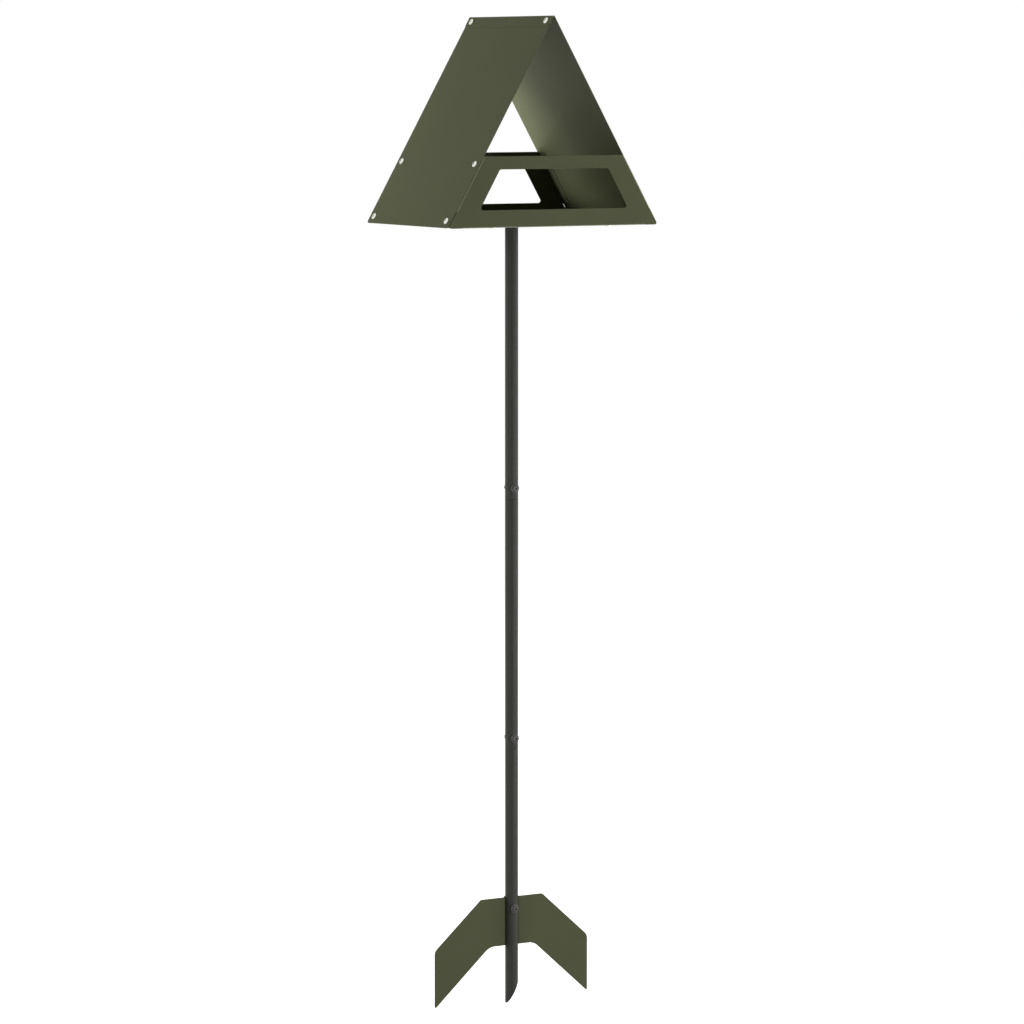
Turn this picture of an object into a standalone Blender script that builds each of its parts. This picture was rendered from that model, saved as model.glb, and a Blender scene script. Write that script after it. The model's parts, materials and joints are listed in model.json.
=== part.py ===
"""Bird feeder on a pole: an A-frame house of folded sheet steel with a seed tray, carried by three
necked tubes that bolt together, with a pressed ground plate and a stake point at the foot.

The feeder stands on +Z with its origin at the tip of the stake, on the pole's axis.
The ridge of the house runs along Y, and -Y is its front.
"""

import math

import bmesh
import bpy
from mathutils import Matrix, Vector

MM = 0.001

# Gap between pieces that touch, and between a shank and its hole
CLEARANCE = 0.3 * MM

# House
SHEET = 0.8 * MM
BEND_RADIUS = 0.5 * MM
RIDGE_BEND_RADIUS = 0.5 * MM
HOUSE_WIDTH = 381.8 * MM
ROOF_DEPTH = 273.0 * MM
ROOF_ANGLE = math.radians(60.0)
ROOF_CORNER_RADIUS = 5.0 * MM
EAVES_TRIM = 1.1 * MM
RIDGE_LAP = 20.3 * MM
RIDGE_SCREW_DROP = 10.4 * MM
ROOF_SCREW_INSET = 15.1 * MM
EAVES_SCREW_RISE = 13.0 * MM

# Front and rear panels
PANEL_HEIGHT = 111.3 * MM
PANEL_PROUD = 1.5 * MM
PANEL_FLANGE = 24.0 * MM
PANEL_FLANGE_GAP = 4.0 * MM
PANEL_SCREW_DROP = 12.5 * MM
PANEL_FOOT_FLANGE = 22.0 * MM
PANEL_FOOT_MARGIN = 24.0 * MM
WINDOW_SIDE_BAND = 34.0 * MM
WINDOW_FOOT_BAND = 27.4 * MM
WINDOW_HEAD_BAND = 20.5 * MM
WINDOW_RADIUS = 4.0 * MM
RELIEF_WIDTH = 0.8 * MM
FLANGE_CORNER_RADIUS = 5.0 * MM
PANEL_TIP_RADIUS = 3.0 * MM

# Tray
TRAY_FLANGE = 24.0 * MM
FLOOR_SCREW_SPACING = 210.0 * MM
FLOOR_SCREW_INSET = 10.0 * MM

# Pole
POLE_RADIUS = 10.65 * MM
TUBE_WALL = 1.2 * MM
UPPER_TUBE_LENGTH = 441.1 * MM
MIDDLE_TUBE_LENGTH = 444.0 * MM
STAKE_LENGTH = 455.0 * MM
TUBE_OVERLAP = 36.0 * MM
NECK_TAPER = 0.5 * MM
STAKE_CUT_ANGLE = math.radians(61.0)
CAP_PLATE_SIDE = 64.0 * MM
CAP_PLATE_THICKNESS = 2.5 * MM
CAP_PLATE_CORNER = 8.0 * MM
CAP_SPIGOT_LENGTH = 30.0 * MM
CAP_SCREW_SPACING = 44.0 * MM
WELD_LEG = 1.8 * MM

# Ground plate
GROUND_SHEET = 2.0 * MM
GROUND_BEND_RADIUS = 2.0 * MM
GROUND_TOP_HEIGHT = 175.0 * MM
GROUND_SPAN = 285.0 * MM
GROUND_TOP_WIDTH = 114.2 * MM
GROUND_SHOULDER_DROP = 77.0 * MM
GROUND_TIP_DROP = 171.2 * MM
GROUND_CROTCH_DROP = 79.4 * MM
GROUND_CROTCH_WIDTH = 83.0 * MM
GROUND_BOLT_DROP = 18.3 * MM
GROUND_SHOULDER_RADIUS = 14.0 * MM
GROUND_TOP_RADIUS = 6.0 * MM
GROUND_CROTCH_RADIUS = 25.0 * MM
GROUND_TIP_RADIUS = 1.5 * MM

# Sheet screws and their nuts
SCREW_RADIUS = 2.5 * MM
SCREW_HEAD_RADIUS = 5.2 * MM
SCREW_HEAD_HEIGHT = 3.0 * MM
SCREW_NUT_FLATS = 8.0 * MM
SCREW_NUT_HEIGHT = 4.0 * MM
SCREW_RECESS_WIDTH = 1.1 * MM
SCREW_RECESS_SPAN = 5.0 * MM
SCREW_RECESS_DEPTH = 1.8 * MM

# Half sections of the heads, in shares of their radius and height
PAN_HEAD = ((0.0, 1.0), (0.62, 0.84), (1.0, 0.34), (1.0, 0.0))
BUTTON_CROWN = ((0.0, 1.0), (0.55, 0.92))

# Pole bolts and their lock nuts
BOLT_RADIUS = 3.0 * MM
BOLT_HEAD_RADIUS = 7.4 * MM
BOLT_HEAD_HEIGHT = 3.6 * MM
BOLT_CROWN_RADIUS = 5.7 * MM
BOLT_FLANGE_HEIGHT = 1.3 * MM
BOLT_SOCKET_FLATS = 4.0 * MM
BOLT_SOCKET_DEPTH = 2.1 * MM
BOLT_NUT_FLATS = 10.0 * MM
BOLT_NUT_HEIGHT = 6.0 * MM
BOLT_NUT_COLLAR = 1.4 * MM
BOLT_NUT_COLLAR_RADIUS = 4.2 * MM
THREAD_END = 1.6 * MM

# Facets
CORNER_STEPS = 4
HOLE_STEPS = 12
BEND_STEPS = 4
SCREW_STEPS = 12
TUBE_STEPS = 28
CHANNEL_STEPS = 16

# Colours, roughness and metallic value of each finish
OLIVE_COAT = ((0.076, 0.086, 0.048, 1.0), 0.45, 0.0)
DARK_COAT = ((0.052, 0.054, 0.048, 1.0), 0.42, 0.0)
ZINC = ((0.66, 0.67, 0.68, 1.0), 0.28, 1.0)
BLACK_ZINC = ((0.045, 0.046, 0.044, 1.0), 0.35, 0.8)

# Derived sizes of the house
LAP = SHEET + CLEARANCE
RIDGE_ANGLE = math.pi - 2 * ROOF_ANGLE
EAVES_FOLD = math.pi - ROOF_ANGLE
RIDGE_FOLD = math.pi - RIDGE_ANGLE
ROOF_RISE = HOUSE_WIDTH / 2 * math.tan(ROOF_ANGLE)
ROOF_SLOPE = HOUSE_WIDTH / 2 / math.cos(ROOF_ANGLE)
PANEL_FACE = ROOF_DEPTH / 2 + PANEL_PROUD
RIDGE_CREST_RISE = LAP / math.sin(RIDGE_ANGLE)
RIDGE_CREST_SHIFT = LAP / math.tan(RIDGE_ANGLE)
PANEL_FLANGE_START = LAP + TRAY_FLANGE * math.sin(ROOF_ANGLE) + PANEL_FLANGE_GAP

# Heights of the pole's joints, from the tip of the stake up
STAKE_JOINT_HEIGHT = STAKE_LENGTH - TUBE_OVERLAP / 2
MIDDLE_TUBE_TOP = STAKE_LENGTH - TUBE_OVERLAP + MIDDLE_TUBE_LENGTH
UPPER_JOINT_HEIGHT = MIDDLE_TUBE_TOP - TUBE_OVERLAP / 2
UPPER_TUBE_TOP = MIDDLE_TUBE_TOP - TUBE_OVERLAP + UPPER_TUBE_LENGTH
CAP_PLATE_UNDERSIDE = UPPER_TUBE_TOP + CLEARANCE
TRAY_UNDERSIDE = CAP_PLATE_UNDERSIDE + CAP_PLATE_THICKNESS + CLEARANCE
HOUSE_BASE = TRAY_UNDERSIDE - LAP
RIDGE_HEIGHT = HOUSE_BASE + ROOF_RISE
GROUND_BOLT_HEIGHT = GROUND_TOP_HEIGHT - GROUND_BOLT_DROP

# Matching holes and shanks
SCREW_HOLE_RADIUS = SCREW_RADIUS + CLEARANCE
BOLT_HOLE_RADIUS = BOLT_RADIUS + CLEARANCE
NECK_RADIUS = POLE_RADIUS - TUBE_WALL - CLEARANCE


def clear_scene():
    """Remove every object of the start-up scene."""
    for obj in list(bpy.data.objects):
        bpy.data.objects.remove(obj, do_unlink=True)


def new_collection(name, cutters=False):
    """Link a new collection to the scene."""
    collection = bpy.data.collections.new(name)
    collection.hide_render = cutters
    bpy.context.scene.collection.children.link(collection)
    return collection


def coating(name, look):
    """Make a Principled material from a colour, a roughness and a metallic value."""
    colour, roughness, metallic = look
    material = bpy.data.materials.new(name)
    material.use_nodes = True
    shader = material.node_tree.nodes["Principled BSDF"]
    shader.inputs["Base Color"].default_value = colour
    shader.inputs["Roughness"].default_value = roughness
    shader.inputs["Metallic"].default_value = metallic
    material.diffuse_color = colour
    return material


def add_object(name, mesh, collection, material=None, matrix=None, parent=None):
    """Put a mesh in the scene at a world matrix, under a parent."""
    obj = bpy.data.objects.new(name, mesh)
    collection.objects.link(obj)
    if material and not mesh.materials:
        mesh.materials.append(material)
    obj.parent = parent
    obj.matrix_world = matrix or Matrix()
    return obj


def frame(origin, x_axis, z_axis):
    """World matrix of a frame from its origin, local X and local Z."""
    x_axis = Vector(x_axis).normalized()
    z_axis = Vector(z_axis).normalized()
    y_axis = z_axis.cross(x_axis)
    matrix = Matrix((x_axis, y_axis, z_axis)).transposed().to_4x4()
    matrix.translation = Vector(origin)
    return matrix


def facing(point, direction):
    """World matrix at a point whose local Z looks along a direction."""
    matrix = Vector(direction).to_track_quat("Z", "Y").to_matrix().to_4x4()
    matrix.translation = Vector(point)
    return matrix


def evaluated_mesh(obj):
    """Plain mesh of an object with its modifiers or its curve worked out."""
    graph = bpy.context.evaluated_depsgraph_get()
    graph.update()
    return bpy.data.meshes.new_from_object(obj.evaluated_get(graph))


def smooth(mesh):
    """Shade round faces smooth and keep real edges sharp."""
    mesh.shade_smooth()
    mesh.set_sharp_from_angle(angle=math.radians(40.0))


def circle(centre, radius, steps=HOLE_STEPS):
    """Points of a circle in the plane of a blank."""
    turns = [math.tau * step / steps for step in range(steps)]
    return [(centre[0] + radius * math.cos(a), centre[1] + radius * math.sin(a)) for a in turns]


def rounded(corners, steps=CORNER_STEPS):
    """Outline through (x, y, radius) corners, each corner with its own arc."""
    outline = []
    for index, (x, y, radius) in enumerate(corners):
        corner = Vector((x, y))
        before = (Vector(corners[index - 1][:2]) - corner).normalized()
        after = (Vector(corners[(index + 1) % len(corners)][:2]) - corner).normalized()
        if radius <= 0.0:
            outline.append((x, y))
            continue
        half = before.angle(after) / 2
        centre = corner + (before + after).normalized() * radius / math.sin(half)
        start = corner + before * radius / math.tan(half) - centre
        sweep = (math.pi - 2 * half) * (1 if before.cross(after) < 0 else -1)
        for step in range(steps + 1):
            turned = Matrix.Rotation(sweep * step / steps, 2) @ start
            outline.append(tuple(centre + turned))
    return outline


def sheet_blank(outline, holes, thickness):
    """Flat sheet in XY from Z 0, its outer face, up to its thickness."""
    curve = bpy.data.curves.new("blank", "CURVE")
    curve.dimensions = "2D"
    curve.fill_mode = "BOTH"
    curve.extrude = thickness / 2
    for loop in [outline, *holes]:
        spline = curve.splines.new("POLY")
        spline.points.add(len(loop) - 1)
        spline.use_cyclic_u = True
        for point, (x, y) in zip(spline.points, loop):
            point.co = (x, y, 0.0, 1.0)
    guide = bpy.data.objects.new("blank", curve)
    bpy.context.scene.collection.objects.link(guide)
    mesh = evaluated_mesh(guide)
    bpy.data.objects.remove(guide, do_unlink=True)
    bpy.data.curves.remove(curve)
    blank = bmesh.new()
    blank.from_mesh(mesh)
    bpy.data.meshes.remove(mesh)
    bmesh.ops.remove_doubles(blank, verts=blank.verts, dist=0.001 * MM)
    bmesh.ops.translate(blank, verts=blank.verts, vec=(0.0, 0.0, thickness / 2))
    merge_flats(blank)
    return blank


def merge_flats(blank):
    """Merge the facets of each flat stretch."""
    flat = math.radians(0.2)
    bmesh.ops.dissolve_limit(blank, angle_limit=flat, verts=blank.verts, edges=blank.edges)


def slit(blank, point, normal):
    """Split the faces of a blank along a plane, and keep both sides."""
    parts = [*blank.verts, *blank.edges, *blank.faces]
    bmesh.ops.bisect_plane(blank, geom=parts, dist=1e-7, plane_co=point, plane_no=normal)


def bend_setback(angle, radius, thickness=SHEET):
    """Distance from the mould line of a fold back to the start of its bend."""
    return (radius + thickness) * math.tan(angle / 2)


def developed(length, angle, radius, thickness=SHEET):
    """Distance in the blank, from the mould line, of what lies this far up a flange."""
    arc = (radius + thickness / 2) * angle
    return length + arc - 2 * bend_setback(angle, radius, thickness)


def fold(blank, foot, outward, angle, radius, span=None, thickness=SHEET):
    """Fold what lies beyond a mould line up towards +Z.

    The line passes through foot, square to outward. span keeps the fold to what lies between two
    distances along the line, measured from foot to the left of outward.
    """
    foot = Vector((*foot, 0.0))
    outward = Vector((*outward, 0.0)).normalized()
    along = Vector((-outward.y, outward.x, 0.0))
    neutral = radius + thickness / 2
    start = -bend_setback(angle, radius, thickness)
    for step in range(BEND_STEPS + 1):
        slit(blank, foot + outward * (start + neutral * angle * step / BEND_STEPS), outward)
    for vert in blank.verts:
        offset = vert.co - foot
        reach = offset.dot(outward) - start
        place = offset.dot(along)
        if reach <= 1e-9 or (span and not span[0] < place < span[1]):
            continue
        turn = min(reach / neutral, angle)
        past = max(reach - neutral * angle, 0.0)
        arm = radius + thickness - vert.co.z
        distance = start + arm * math.sin(turn) + past * math.cos(turn)
        height = radius + thickness - arm * math.cos(turn) + past * math.sin(turn)
        vert.co = foot + along * place + outward * distance + Vector((0.0, 0.0, height))


def finished_sheet(name, blank):
    """Mesh of a folded blank, with its faces outward."""
    bmesh.ops.recalc_face_normals(blank, faces=blank.faces)
    if blank.calc_volume(signed=True) < 0.0:
        bmesh.ops.reverse_faces(blank, faces=blank.faces)
    mesh = bpy.data.meshes.new(name)
    blank.to_mesh(mesh)
    blank.free()
    mesh.set_sharp_from_angle(angle=math.radians(30.0))
    return mesh


def turned(name, profile, steps, closed=False):
    """Mesh of a profile of (radius, z) points turned about Z, outer side from top to bottom."""
    edges = [(i, i + 1) for i in range(len(profile) - 1)]
    if closed:
        edges.append((len(profile) - 1, 0))
    line = bpy.data.meshes.new("profile")
    line.from_pydata([(radius, 0.0, z) for radius, z in profile], edges, [])
    guide = bpy.data.objects.new("profile", line)
    bpy.context.scene.collection.objects.link(guide)
    screw = guide.modifiers.new("turn", "SCREW")
    screw.steps = steps
    screw.render_steps = steps
    screw.use_merge_vertices = True
    screw.merge_threshold = 0.00001
    mesh = evaluated_mesh(guide)
    bpy.data.objects.remove(guide, do_unlink=True)
    bpy.data.meshes.remove(line)
    mesh.name = name
    smooth(mesh)
    return mesh


def prism(name, radius, bottom, top, sides, turn=0.0):
    """Mesh of an upright prism or cylinder between two heights."""
    shape = bmesh.new()
    bmesh.ops.create_cone(
        shape, cap_ends=True, segments=sides, radius1=radius, radius2=radius, depth=top - bottom
    )
    place = Matrix.Translation((0.0, 0.0, (top + bottom) / 2)) @ Matrix.Rotation(turn, 4, "Z")
    bmesh.ops.transform(shape, matrix=place, verts=shape.verts)
    mesh = bpy.data.meshes.new(name)
    shape.to_mesh(mesh)
    shape.free()
    return mesh


def box(name, size, centre=(0.0, 0.0, 0.0)):
    """Mesh of a box from its size and centre."""
    shape = bmesh.new()
    bmesh.ops.create_cube(shape, size=1.0)
    place = Matrix.Translation(centre) @ Matrix.Diagonal((*size, 1.0))
    bmesh.ops.transform(shape, matrix=place, verts=shape.verts)
    mesh = bpy.data.meshes.new(name)
    shape.to_mesh(mesh)
    shape.free()
    return mesh


def combine(obj, cutter_mesh, cutters, operation="DIFFERENCE", matrix=None):
    """Cut an object with a mesh, or join the mesh to it."""
    cutter = add_object(f"{obj.name}_tool", cutter_mesh, cutters, matrix=matrix)
    cutter.hide_render = True
    cutter.display_type = "WIRE"
    step = obj.modifiers.new(cutter.name, "BOOLEAN")
    step.operation = operation
    step.solver = "EXACT"
    step.object = cutter
    return cutter


def baked(mesh, tools, cutters):
    """Mesh with its cuts worked out, for pieces that share it. tools holds (mesh, operation)."""
    draft = add_object(f"{mesh.name}_draft", mesh, cutters)
    draft.hide_render = True
    draft.display_type = "WIRE"
    for tool, operation in tools:
        combine(draft, tool, cutters, operation)
    result = evaluated_mesh(draft)
    result.name = mesh.name
    result.materials.clear()
    smooth(result)
    for modifier in draft.modifiers:
        bpy.data.objects.remove(modifier.object, do_unlink=True)
    bpy.data.objects.remove(draft, do_unlink=True)
    return result


def nut_mesh(name, flats, height, bore, collar=None):
    """Hexagon nut on its seat at Z 0. A lock nut has a round collar, given as (radius, height)."""
    hexagon_height = height - collar[1] if collar else height
    body = prism(name, flats / math.sqrt(3.0), 0.0, hexagon_height, 6)
    tools = [(prism("bore", bore, -height, 2 * height, HOLE_STEPS), "DIFFERENCE")]
    if collar:
        ring = prism("collar", collar[0], hexagon_height / 2, height, HOLE_STEPS)
        tools.insert(0, (ring, "UNION"))
    return [body, tools]


def screw_mesh(name, shank_length):
    """Pan head screw with a cross recess, the underside of its head at Z 0."""
    profile = [
        *[(SCREW_HEAD_RADIUS * radius, SCREW_HEAD_HEIGHT * rise) for radius, rise in PAN_HEAD],
        (SCREW_RADIUS, 0.0),
        (SCREW_RADIUS, -shank_length),
        (0.0, -shank_length),
    ]
    body = turned(name, profile, SCREW_STEPS)
    size = (SCREW_RECESS_SPAN, SCREW_RECESS_WIDTH, 2 * SCREW_RECESS_DEPTH)
    bar = box("recess", size, (0.0, 0.0, SCREW_HEAD_HEIGHT))
    cross = box("recess", (size[1], size[0], size[2]), (0.0, 0.0, SCREW_HEAD_HEIGHT))
    return [body, [(bar, "DIFFERENCE"), (cross, "DIFFERENCE")]]


def bolt_mesh(name, shank_length):
    """Flanged button head bolt with a hexagon socket, the underside of its head at Z 0."""
    profile = [
        *[(BOLT_HEAD_RADIUS * radius, BOLT_HEAD_HEIGHT * rise) for radius, rise in BUTTON_CROWN],
        (BOLT_CROWN_RADIUS, BOLT_FLANGE_HEIGHT),
        (BOLT_HEAD_RADIUS, BOLT_FLANGE_HEIGHT),
        (BOLT_HEAD_RADIUS, 0.0),
        (BOLT_RADIUS, 0.0),
        (BOLT_RADIUS, -shank_length),
        (0.0, -shank_length),
    ]
    body = turned(name, profile, SCREW_STEPS + 4)
    socket_floor = BOLT_HEAD_HEIGHT - BOLT_SOCKET_DEPTH
    corner = BOLT_SOCKET_FLATS / math.sqrt(3.0)
    socket = prism("socket", corner, socket_floor, 2 * BOLT_HEAD_HEIGHT, 6)
    return [body, [(socket, "DIFFERENCE")]]


class Slope:
    """One side of the roof, measured from the nominal ridge down its outer face."""

    def __init__(self, side):
        self.side = side
        self.down = Vector((side * math.cos(ROOF_ANGLE), 0.0, -math.sin(ROOF_ANGLE)))
        self.inward = Vector((-side * math.sin(ROOF_ANGLE), 0.0, -math.cos(ROOF_ANGLE)))
        self.ridge = Vector((0.0, 0.0, RIDGE_HEIGHT))

    def point(self, distance, depth_place=0.0, sunk=0.0):
        """World point a distance down the slope, at a place along Y, sunk below the outer face."""
        place = self.ridge + self.down * distance + self.inward * sunk
        return place + Vector((0.0, depth_place, 0.0))

    def matrix(self):
        """Frame of a blank: X down the slope, Z inward."""
        return frame(self.ridge, self.down, self.inward)

    @staticmethod
    def distance_at(height, sunk=0.0):
        """Distance down the slope of a height above the base, on a face sunk below the outer one."""
        drop = ROOF_RISE - height - sunk * math.cos(ROOF_ANGLE)
        return drop / math.sin(ROOF_ANGLE)


# Places of the roof screws: distance down the slope of each row
EAVES_SCREW_ROW = ROOF_SLOPE - EAVES_SCREW_RISE
PANEL_SCREW_ROW = Slope.distance_at(PANEL_HEIGHT - PANEL_SCREW_DROP)
RIDGE_SCREW_ROW = RIDGE_SCREW_DROP
ROOF_SCREW_PLACE = ROOF_DEPTH / 2 - ROOF_SCREW_INSET
FLOOR_SCREW_PLACE = ROOF_DEPTH / 2 - FLOOR_SCREW_INSET


def roof_sheet(name, top, rows, lapped):
    """Roof sheet from its top edge to the eaves, with its screw holes, and with the ridge lap."""
    half = ROOF_DEPTH / 2
    foot = ROOF_SLOPE - EAVES_TRIM
    corners = [(top, -half), (foot, -half), (foot, half), (top, half)]
    outline = rounded([(x, y, ROOF_CORNER_RADIUS) for x, y in corners])
    holes = []
    for row in rows:
        for place in (-ROOF_SCREW_PLACE, ROOF_SCREW_PLACE):
            holes.append(circle((row, place), SCREW_HOLE_RADIUS))
    blank = sheet_blank(outline, holes, SHEET)
    if lapped:
        fold(blank, (-RIDGE_CREST_RISE, 0.0), (-1.0, 0.0), RIDGE_FOLD, RIDGE_BEND_RADIUS)
    return finished_sheet(name, blank)


def build_roof(parts, coat, parent):
    """Left sheet, and right sheet whose lap goes over the ridge on to the left one."""
    left = Slope(-1)
    right = Slope(1)
    rows = [PANEL_SCREW_ROW, EAVES_SCREW_ROW]
    setback = bend_setback(RIDGE_FOLD, RIDGE_BEND_RADIUS)
    left_top = setback - RIDGE_CREST_SHIFT + SHEET
    mesh = roof_sheet("roof_left", left_top, [RIDGE_SCREW_ROW, *rows], False)
    add_object("roof_left", mesh, parts, coat, left.matrix(), parent)
    lap_end = developed(RIDGE_LAP + RIDGE_CREST_SHIFT, RIDGE_FOLD, RIDGE_BEND_RADIUS)
    lap_row = developed(RIDGE_SCREW_ROW + RIDGE_CREST_SHIFT, RIDGE_FOLD, RIDGE_BEND_RADIUS)
    right_top = -RIDGE_CREST_RISE - lap_end
    mesh = roof_sheet("roof_right", right_top, [-RIDGE_CREST_RISE - lap_row, *rows], True)
    add_object("roof_right", mesh, parts, coat, right.matrix(), parent)


def panel_mesh():
    """Window panel as a blank in (x, height above the base), with two side flanges and a foot flange."""
    angle = math.radians(90.0)
    down = Vector((math.cos(ROOF_ANGLE), -math.sin(ROOF_ANGLE)))
    inward = Vector((-math.sin(ROOF_ANGLE), -math.cos(ROOF_ANGLE)))
    apex = Vector((0.0, ROOF_RISE))

    def edge(height, out=0.0):
        """Point beside the right-hand mould line at a height of that line."""
        distance = Slope.distance_at(height, LAP)
        return apex + down * distance + inward * (LAP - out)

    side_reach = developed(PANEL_FLANGE, angle, BEND_RADIUS)
    foot_reach = developed(PANEL_FOOT_FLANGE, angle, BEND_RADIUS)
    notch = bend_setback(angle, BEND_RADIUS) + RELIEF_WIDTH / 4
    foot_half = edge(0.0).x - PANEL_FOOT_MARGIN
    step = RELIEF_WIDTH * math.sin(ROOF_ANGLE)
    start = PANEL_FLANGE_START
    corner = FLANGE_CORNER_RADIUS
    half_outline = [
        (foot_half, -foot_reach, corner),
        (foot_half, notch, 0.0),
        (foot_half + RELIEF_WIDTH, notch, 0.0),
        (foot_half + RELIEF_WIDTH, 0.0, 0.0),
        (*edge(0.0), PANEL_TIP_RADIUS),
        (*edge(start - step), 0.0),
        (*edge(start - step, -notch), 0.0),
        (*edge(start, -notch), 0.0),
        (*edge(start, side_reach), corner),
        (*edge(PANEL_HEIGHT, side_reach), corner),
        (*edge(PANEL_HEIGHT), 0.0),
    ]
    other_half = [(-x, y, radius) for x, y, radius in reversed(half_outline)]
    window_foot = edge(WINDOW_FOOT_BAND)
    window_head = edge(PANEL_HEIGHT - WINDOW_HEAD_BAND)
    band = WINDOW_SIDE_BAND / math.sin(ROOF_ANGLE)
    window = [
        (band - window_foot.x, window_foot.y, WINDOW_RADIUS),
        (window_foot.x - band, window_foot.y, WINDOW_RADIUS),
        (window_head.x - band, window_head.y, WINDOW_RADIUS),
        (band - window_head.x, window_head.y, WINDOW_RADIUS),
    ]
    screw_reach = developed(ROOF_SCREW_INSET + PANEL_PROUD, angle, BEND_RADIUS)
    floor_reach = developed(FLOOR_SCREW_INSET + PANEL_PROUD, angle, BEND_RADIUS)
    side_hole = apex + down * PANEL_SCREW_ROW + inward * (LAP - screw_reach)
    holes = [rounded(window)]
    for side in (-1, 1):
        holes.append(circle((side * side_hole.x, side_hole.y), SCREW_HOLE_RADIUS))
        holes.append(circle((side * FLOOR_SCREW_SPACING / 2, -floor_reach), SCREW_HOLE_RADIUS))
    blank = sheet_blank(rounded([*half_outline, *other_half]), holes, SHEET)
    flange_span = (edge(start - step / 2) - edge(0.0)).length
    for side in (-1, 1):
        foot = (side * edge(0.0).x, edge(0.0).y)
        outward = (-side * inward.x, -inward.y)
        reach = (flange_span, ROOF_SLOPE) if side > 0 else (-ROOF_SLOPE, -flange_span)
        fold(blank, foot, outward, angle, BEND_RADIUS, reach)
    foot_span = foot_half + RELIEF_WIDTH / 2
    fold(blank, (0.0, 0.0), (0.0, -1.0), angle, BEND_RADIUS, (-foot_span, foot_span))
    return finished_sheet("panel", blank)


def build_panels(parts, coat, parent):
    """Front and rear panels from one pressed shape."""
    mesh = panel_mesh()
    for name, side in (("front_panel", -1), ("rear_panel", 1)):
        matrix = frame((0.0, side * PANEL_FACE, HOUSE_BASE), (side, 0.0, 0.0), (0.0, -side, 0.0))
        add_object(name, mesh.copy(), parts, coat, matrix, parent)


def tray_mesh():
    """Seed tray: a floor between the panels, with flanges folded up against both roof sheets."""
    edge_distance = Slope.distance_at(LAP, LAP)
    mould_line = Slope(1).point(edge_distance, 0.0, LAP).x
    half_depth = PANEL_FACE - SHEET - BEND_RADIUS - CLEARANCE
    reach = mould_line + developed(TRAY_FLANGE, EAVES_FOLD, BEND_RADIUS)
    screw_reach = mould_line + developed(edge_distance - EAVES_SCREW_ROW, EAVES_FOLD, BEND_RADIUS)
    corner = FLANGE_CORNER_RADIUS
    outline = [(-reach, -half_depth, corner), (reach, -half_depth, corner)]
    outline += [(reach, half_depth, corner), (-reach, half_depth, corner)]
    holes = []
    for x_side in (-1, 1):
        for y_side in (-1, 1):
            at_flange = (x_side * screw_reach, y_side * ROOF_SCREW_PLACE)
            at_panel = (x_side * FLOOR_SCREW_SPACING / 2, y_side * FLOOR_SCREW_PLACE)
            at_cap = (x_side * CAP_SCREW_SPACING / 2, y_side * CAP_SCREW_SPACING / 2)
            holes += [circle(centre, SCREW_HOLE_RADIUS) for centre in (at_flange, at_panel, at_cap)]
    blank = sheet_blank(rounded(outline), holes, SHEET)
    for side in (-1, 1):
        fold(blank, (side * mould_line, 0.0), (side, 0.0), EAVES_FOLD, BEND_RADIUS)
    return finished_sheet("seed_tray", blank)


def tube_profile(length, necked, foot=0.0):
    """Closed half section of a tube that stands from its foot, with a reduced neck at its top."""
    top = foot + length
    inside = POLE_RADIUS - TUBE_WALL
    if not necked:
        return [(POLE_RADIUS, top), (POLE_RADIUS, foot), (inside, foot), (inside, top)]
    shoulder = top - TUBE_OVERLAP - CLEARANCE
    taper_foot = shoulder - NECK_TAPER
    bore = NECK_RADIUS - TUBE_WALL
    return [
        (NECK_RADIUS - 0.3 * TUBE_WALL, top),
        (NECK_RADIUS, top - TUBE_WALL),
        (NECK_RADIUS, shoulder),
        (POLE_RADIUS, taper_foot),
        (POLE_RADIUS, foot),
        (inside, foot),
        (inside, taper_foot - TUBE_WALL / 2),
        (bore, shoulder - TUBE_WALL / 2),
        (bore, top),
    ]


def drill_across(tube, height, cutters):
    """Drill a bolt hole along Y through a tube at a world height."""
    drill = prism("drill", BOLT_HOLE_RADIUS, -2 * POLE_RADIUS, 2 * POLE_RADIUS, HOLE_STEPS)
    combine(tube, drill, cutters, matrix=facing((0.0, 0.0, height), (0.0, 1.0, 0.0)))


def build_tubes(parts, cutters, coat, parent):
    """Upper tube, middle tube and stake, bolted where each neck goes up into the next tube."""
    upper_foot = UPPER_TUBE_TOP - UPPER_TUBE_LENGTH
    middle_foot = MIDDLE_TUBE_TOP - MIDDLE_TUBE_LENGTH
    tubes = {
        "upper_tube": (tube_profile(UPPER_TUBE_LENGTH, False, upper_foot), [UPPER_JOINT_HEIGHT]),
        "middle_tube": (
            tube_profile(MIDDLE_TUBE_LENGTH, True, middle_foot),
            [UPPER_JOINT_HEIGHT, STAKE_JOINT_HEIGHT],
        ),
        "stake": (tube_profile(STAKE_LENGTH, True), [STAKE_JOINT_HEIGHT, GROUND_BOLT_HEIGHT]),
    }
    for name, (profile, joints) in tubes.items():
        mesh = turned(name, profile, TUBE_STEPS, closed=True)
        tube = add_object(name, mesh, parts, coat, parent=parent)
        for height in joints:
            drill_across(tube, height, cutters)
    point_stake(bpy.data.objects["stake"], cutters)


def point_stake(stake, cutters):
    """Cut the stake's foot at a slant, from its tip on the -X side up to the +X side."""
    block_side = 8 * POLE_RADIUS
    block = box("slant", (block_side, block_side, block_side), (0.0, 0.0, -block_side / 2))
    place = Matrix.Translation((-POLE_RADIUS, 0.0, 0.0)) @ Matrix.Rotation(-STAKE_CUT_ANGLE, 4, "Y")
    combine(stake, block, cutters, matrix=place)


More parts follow.
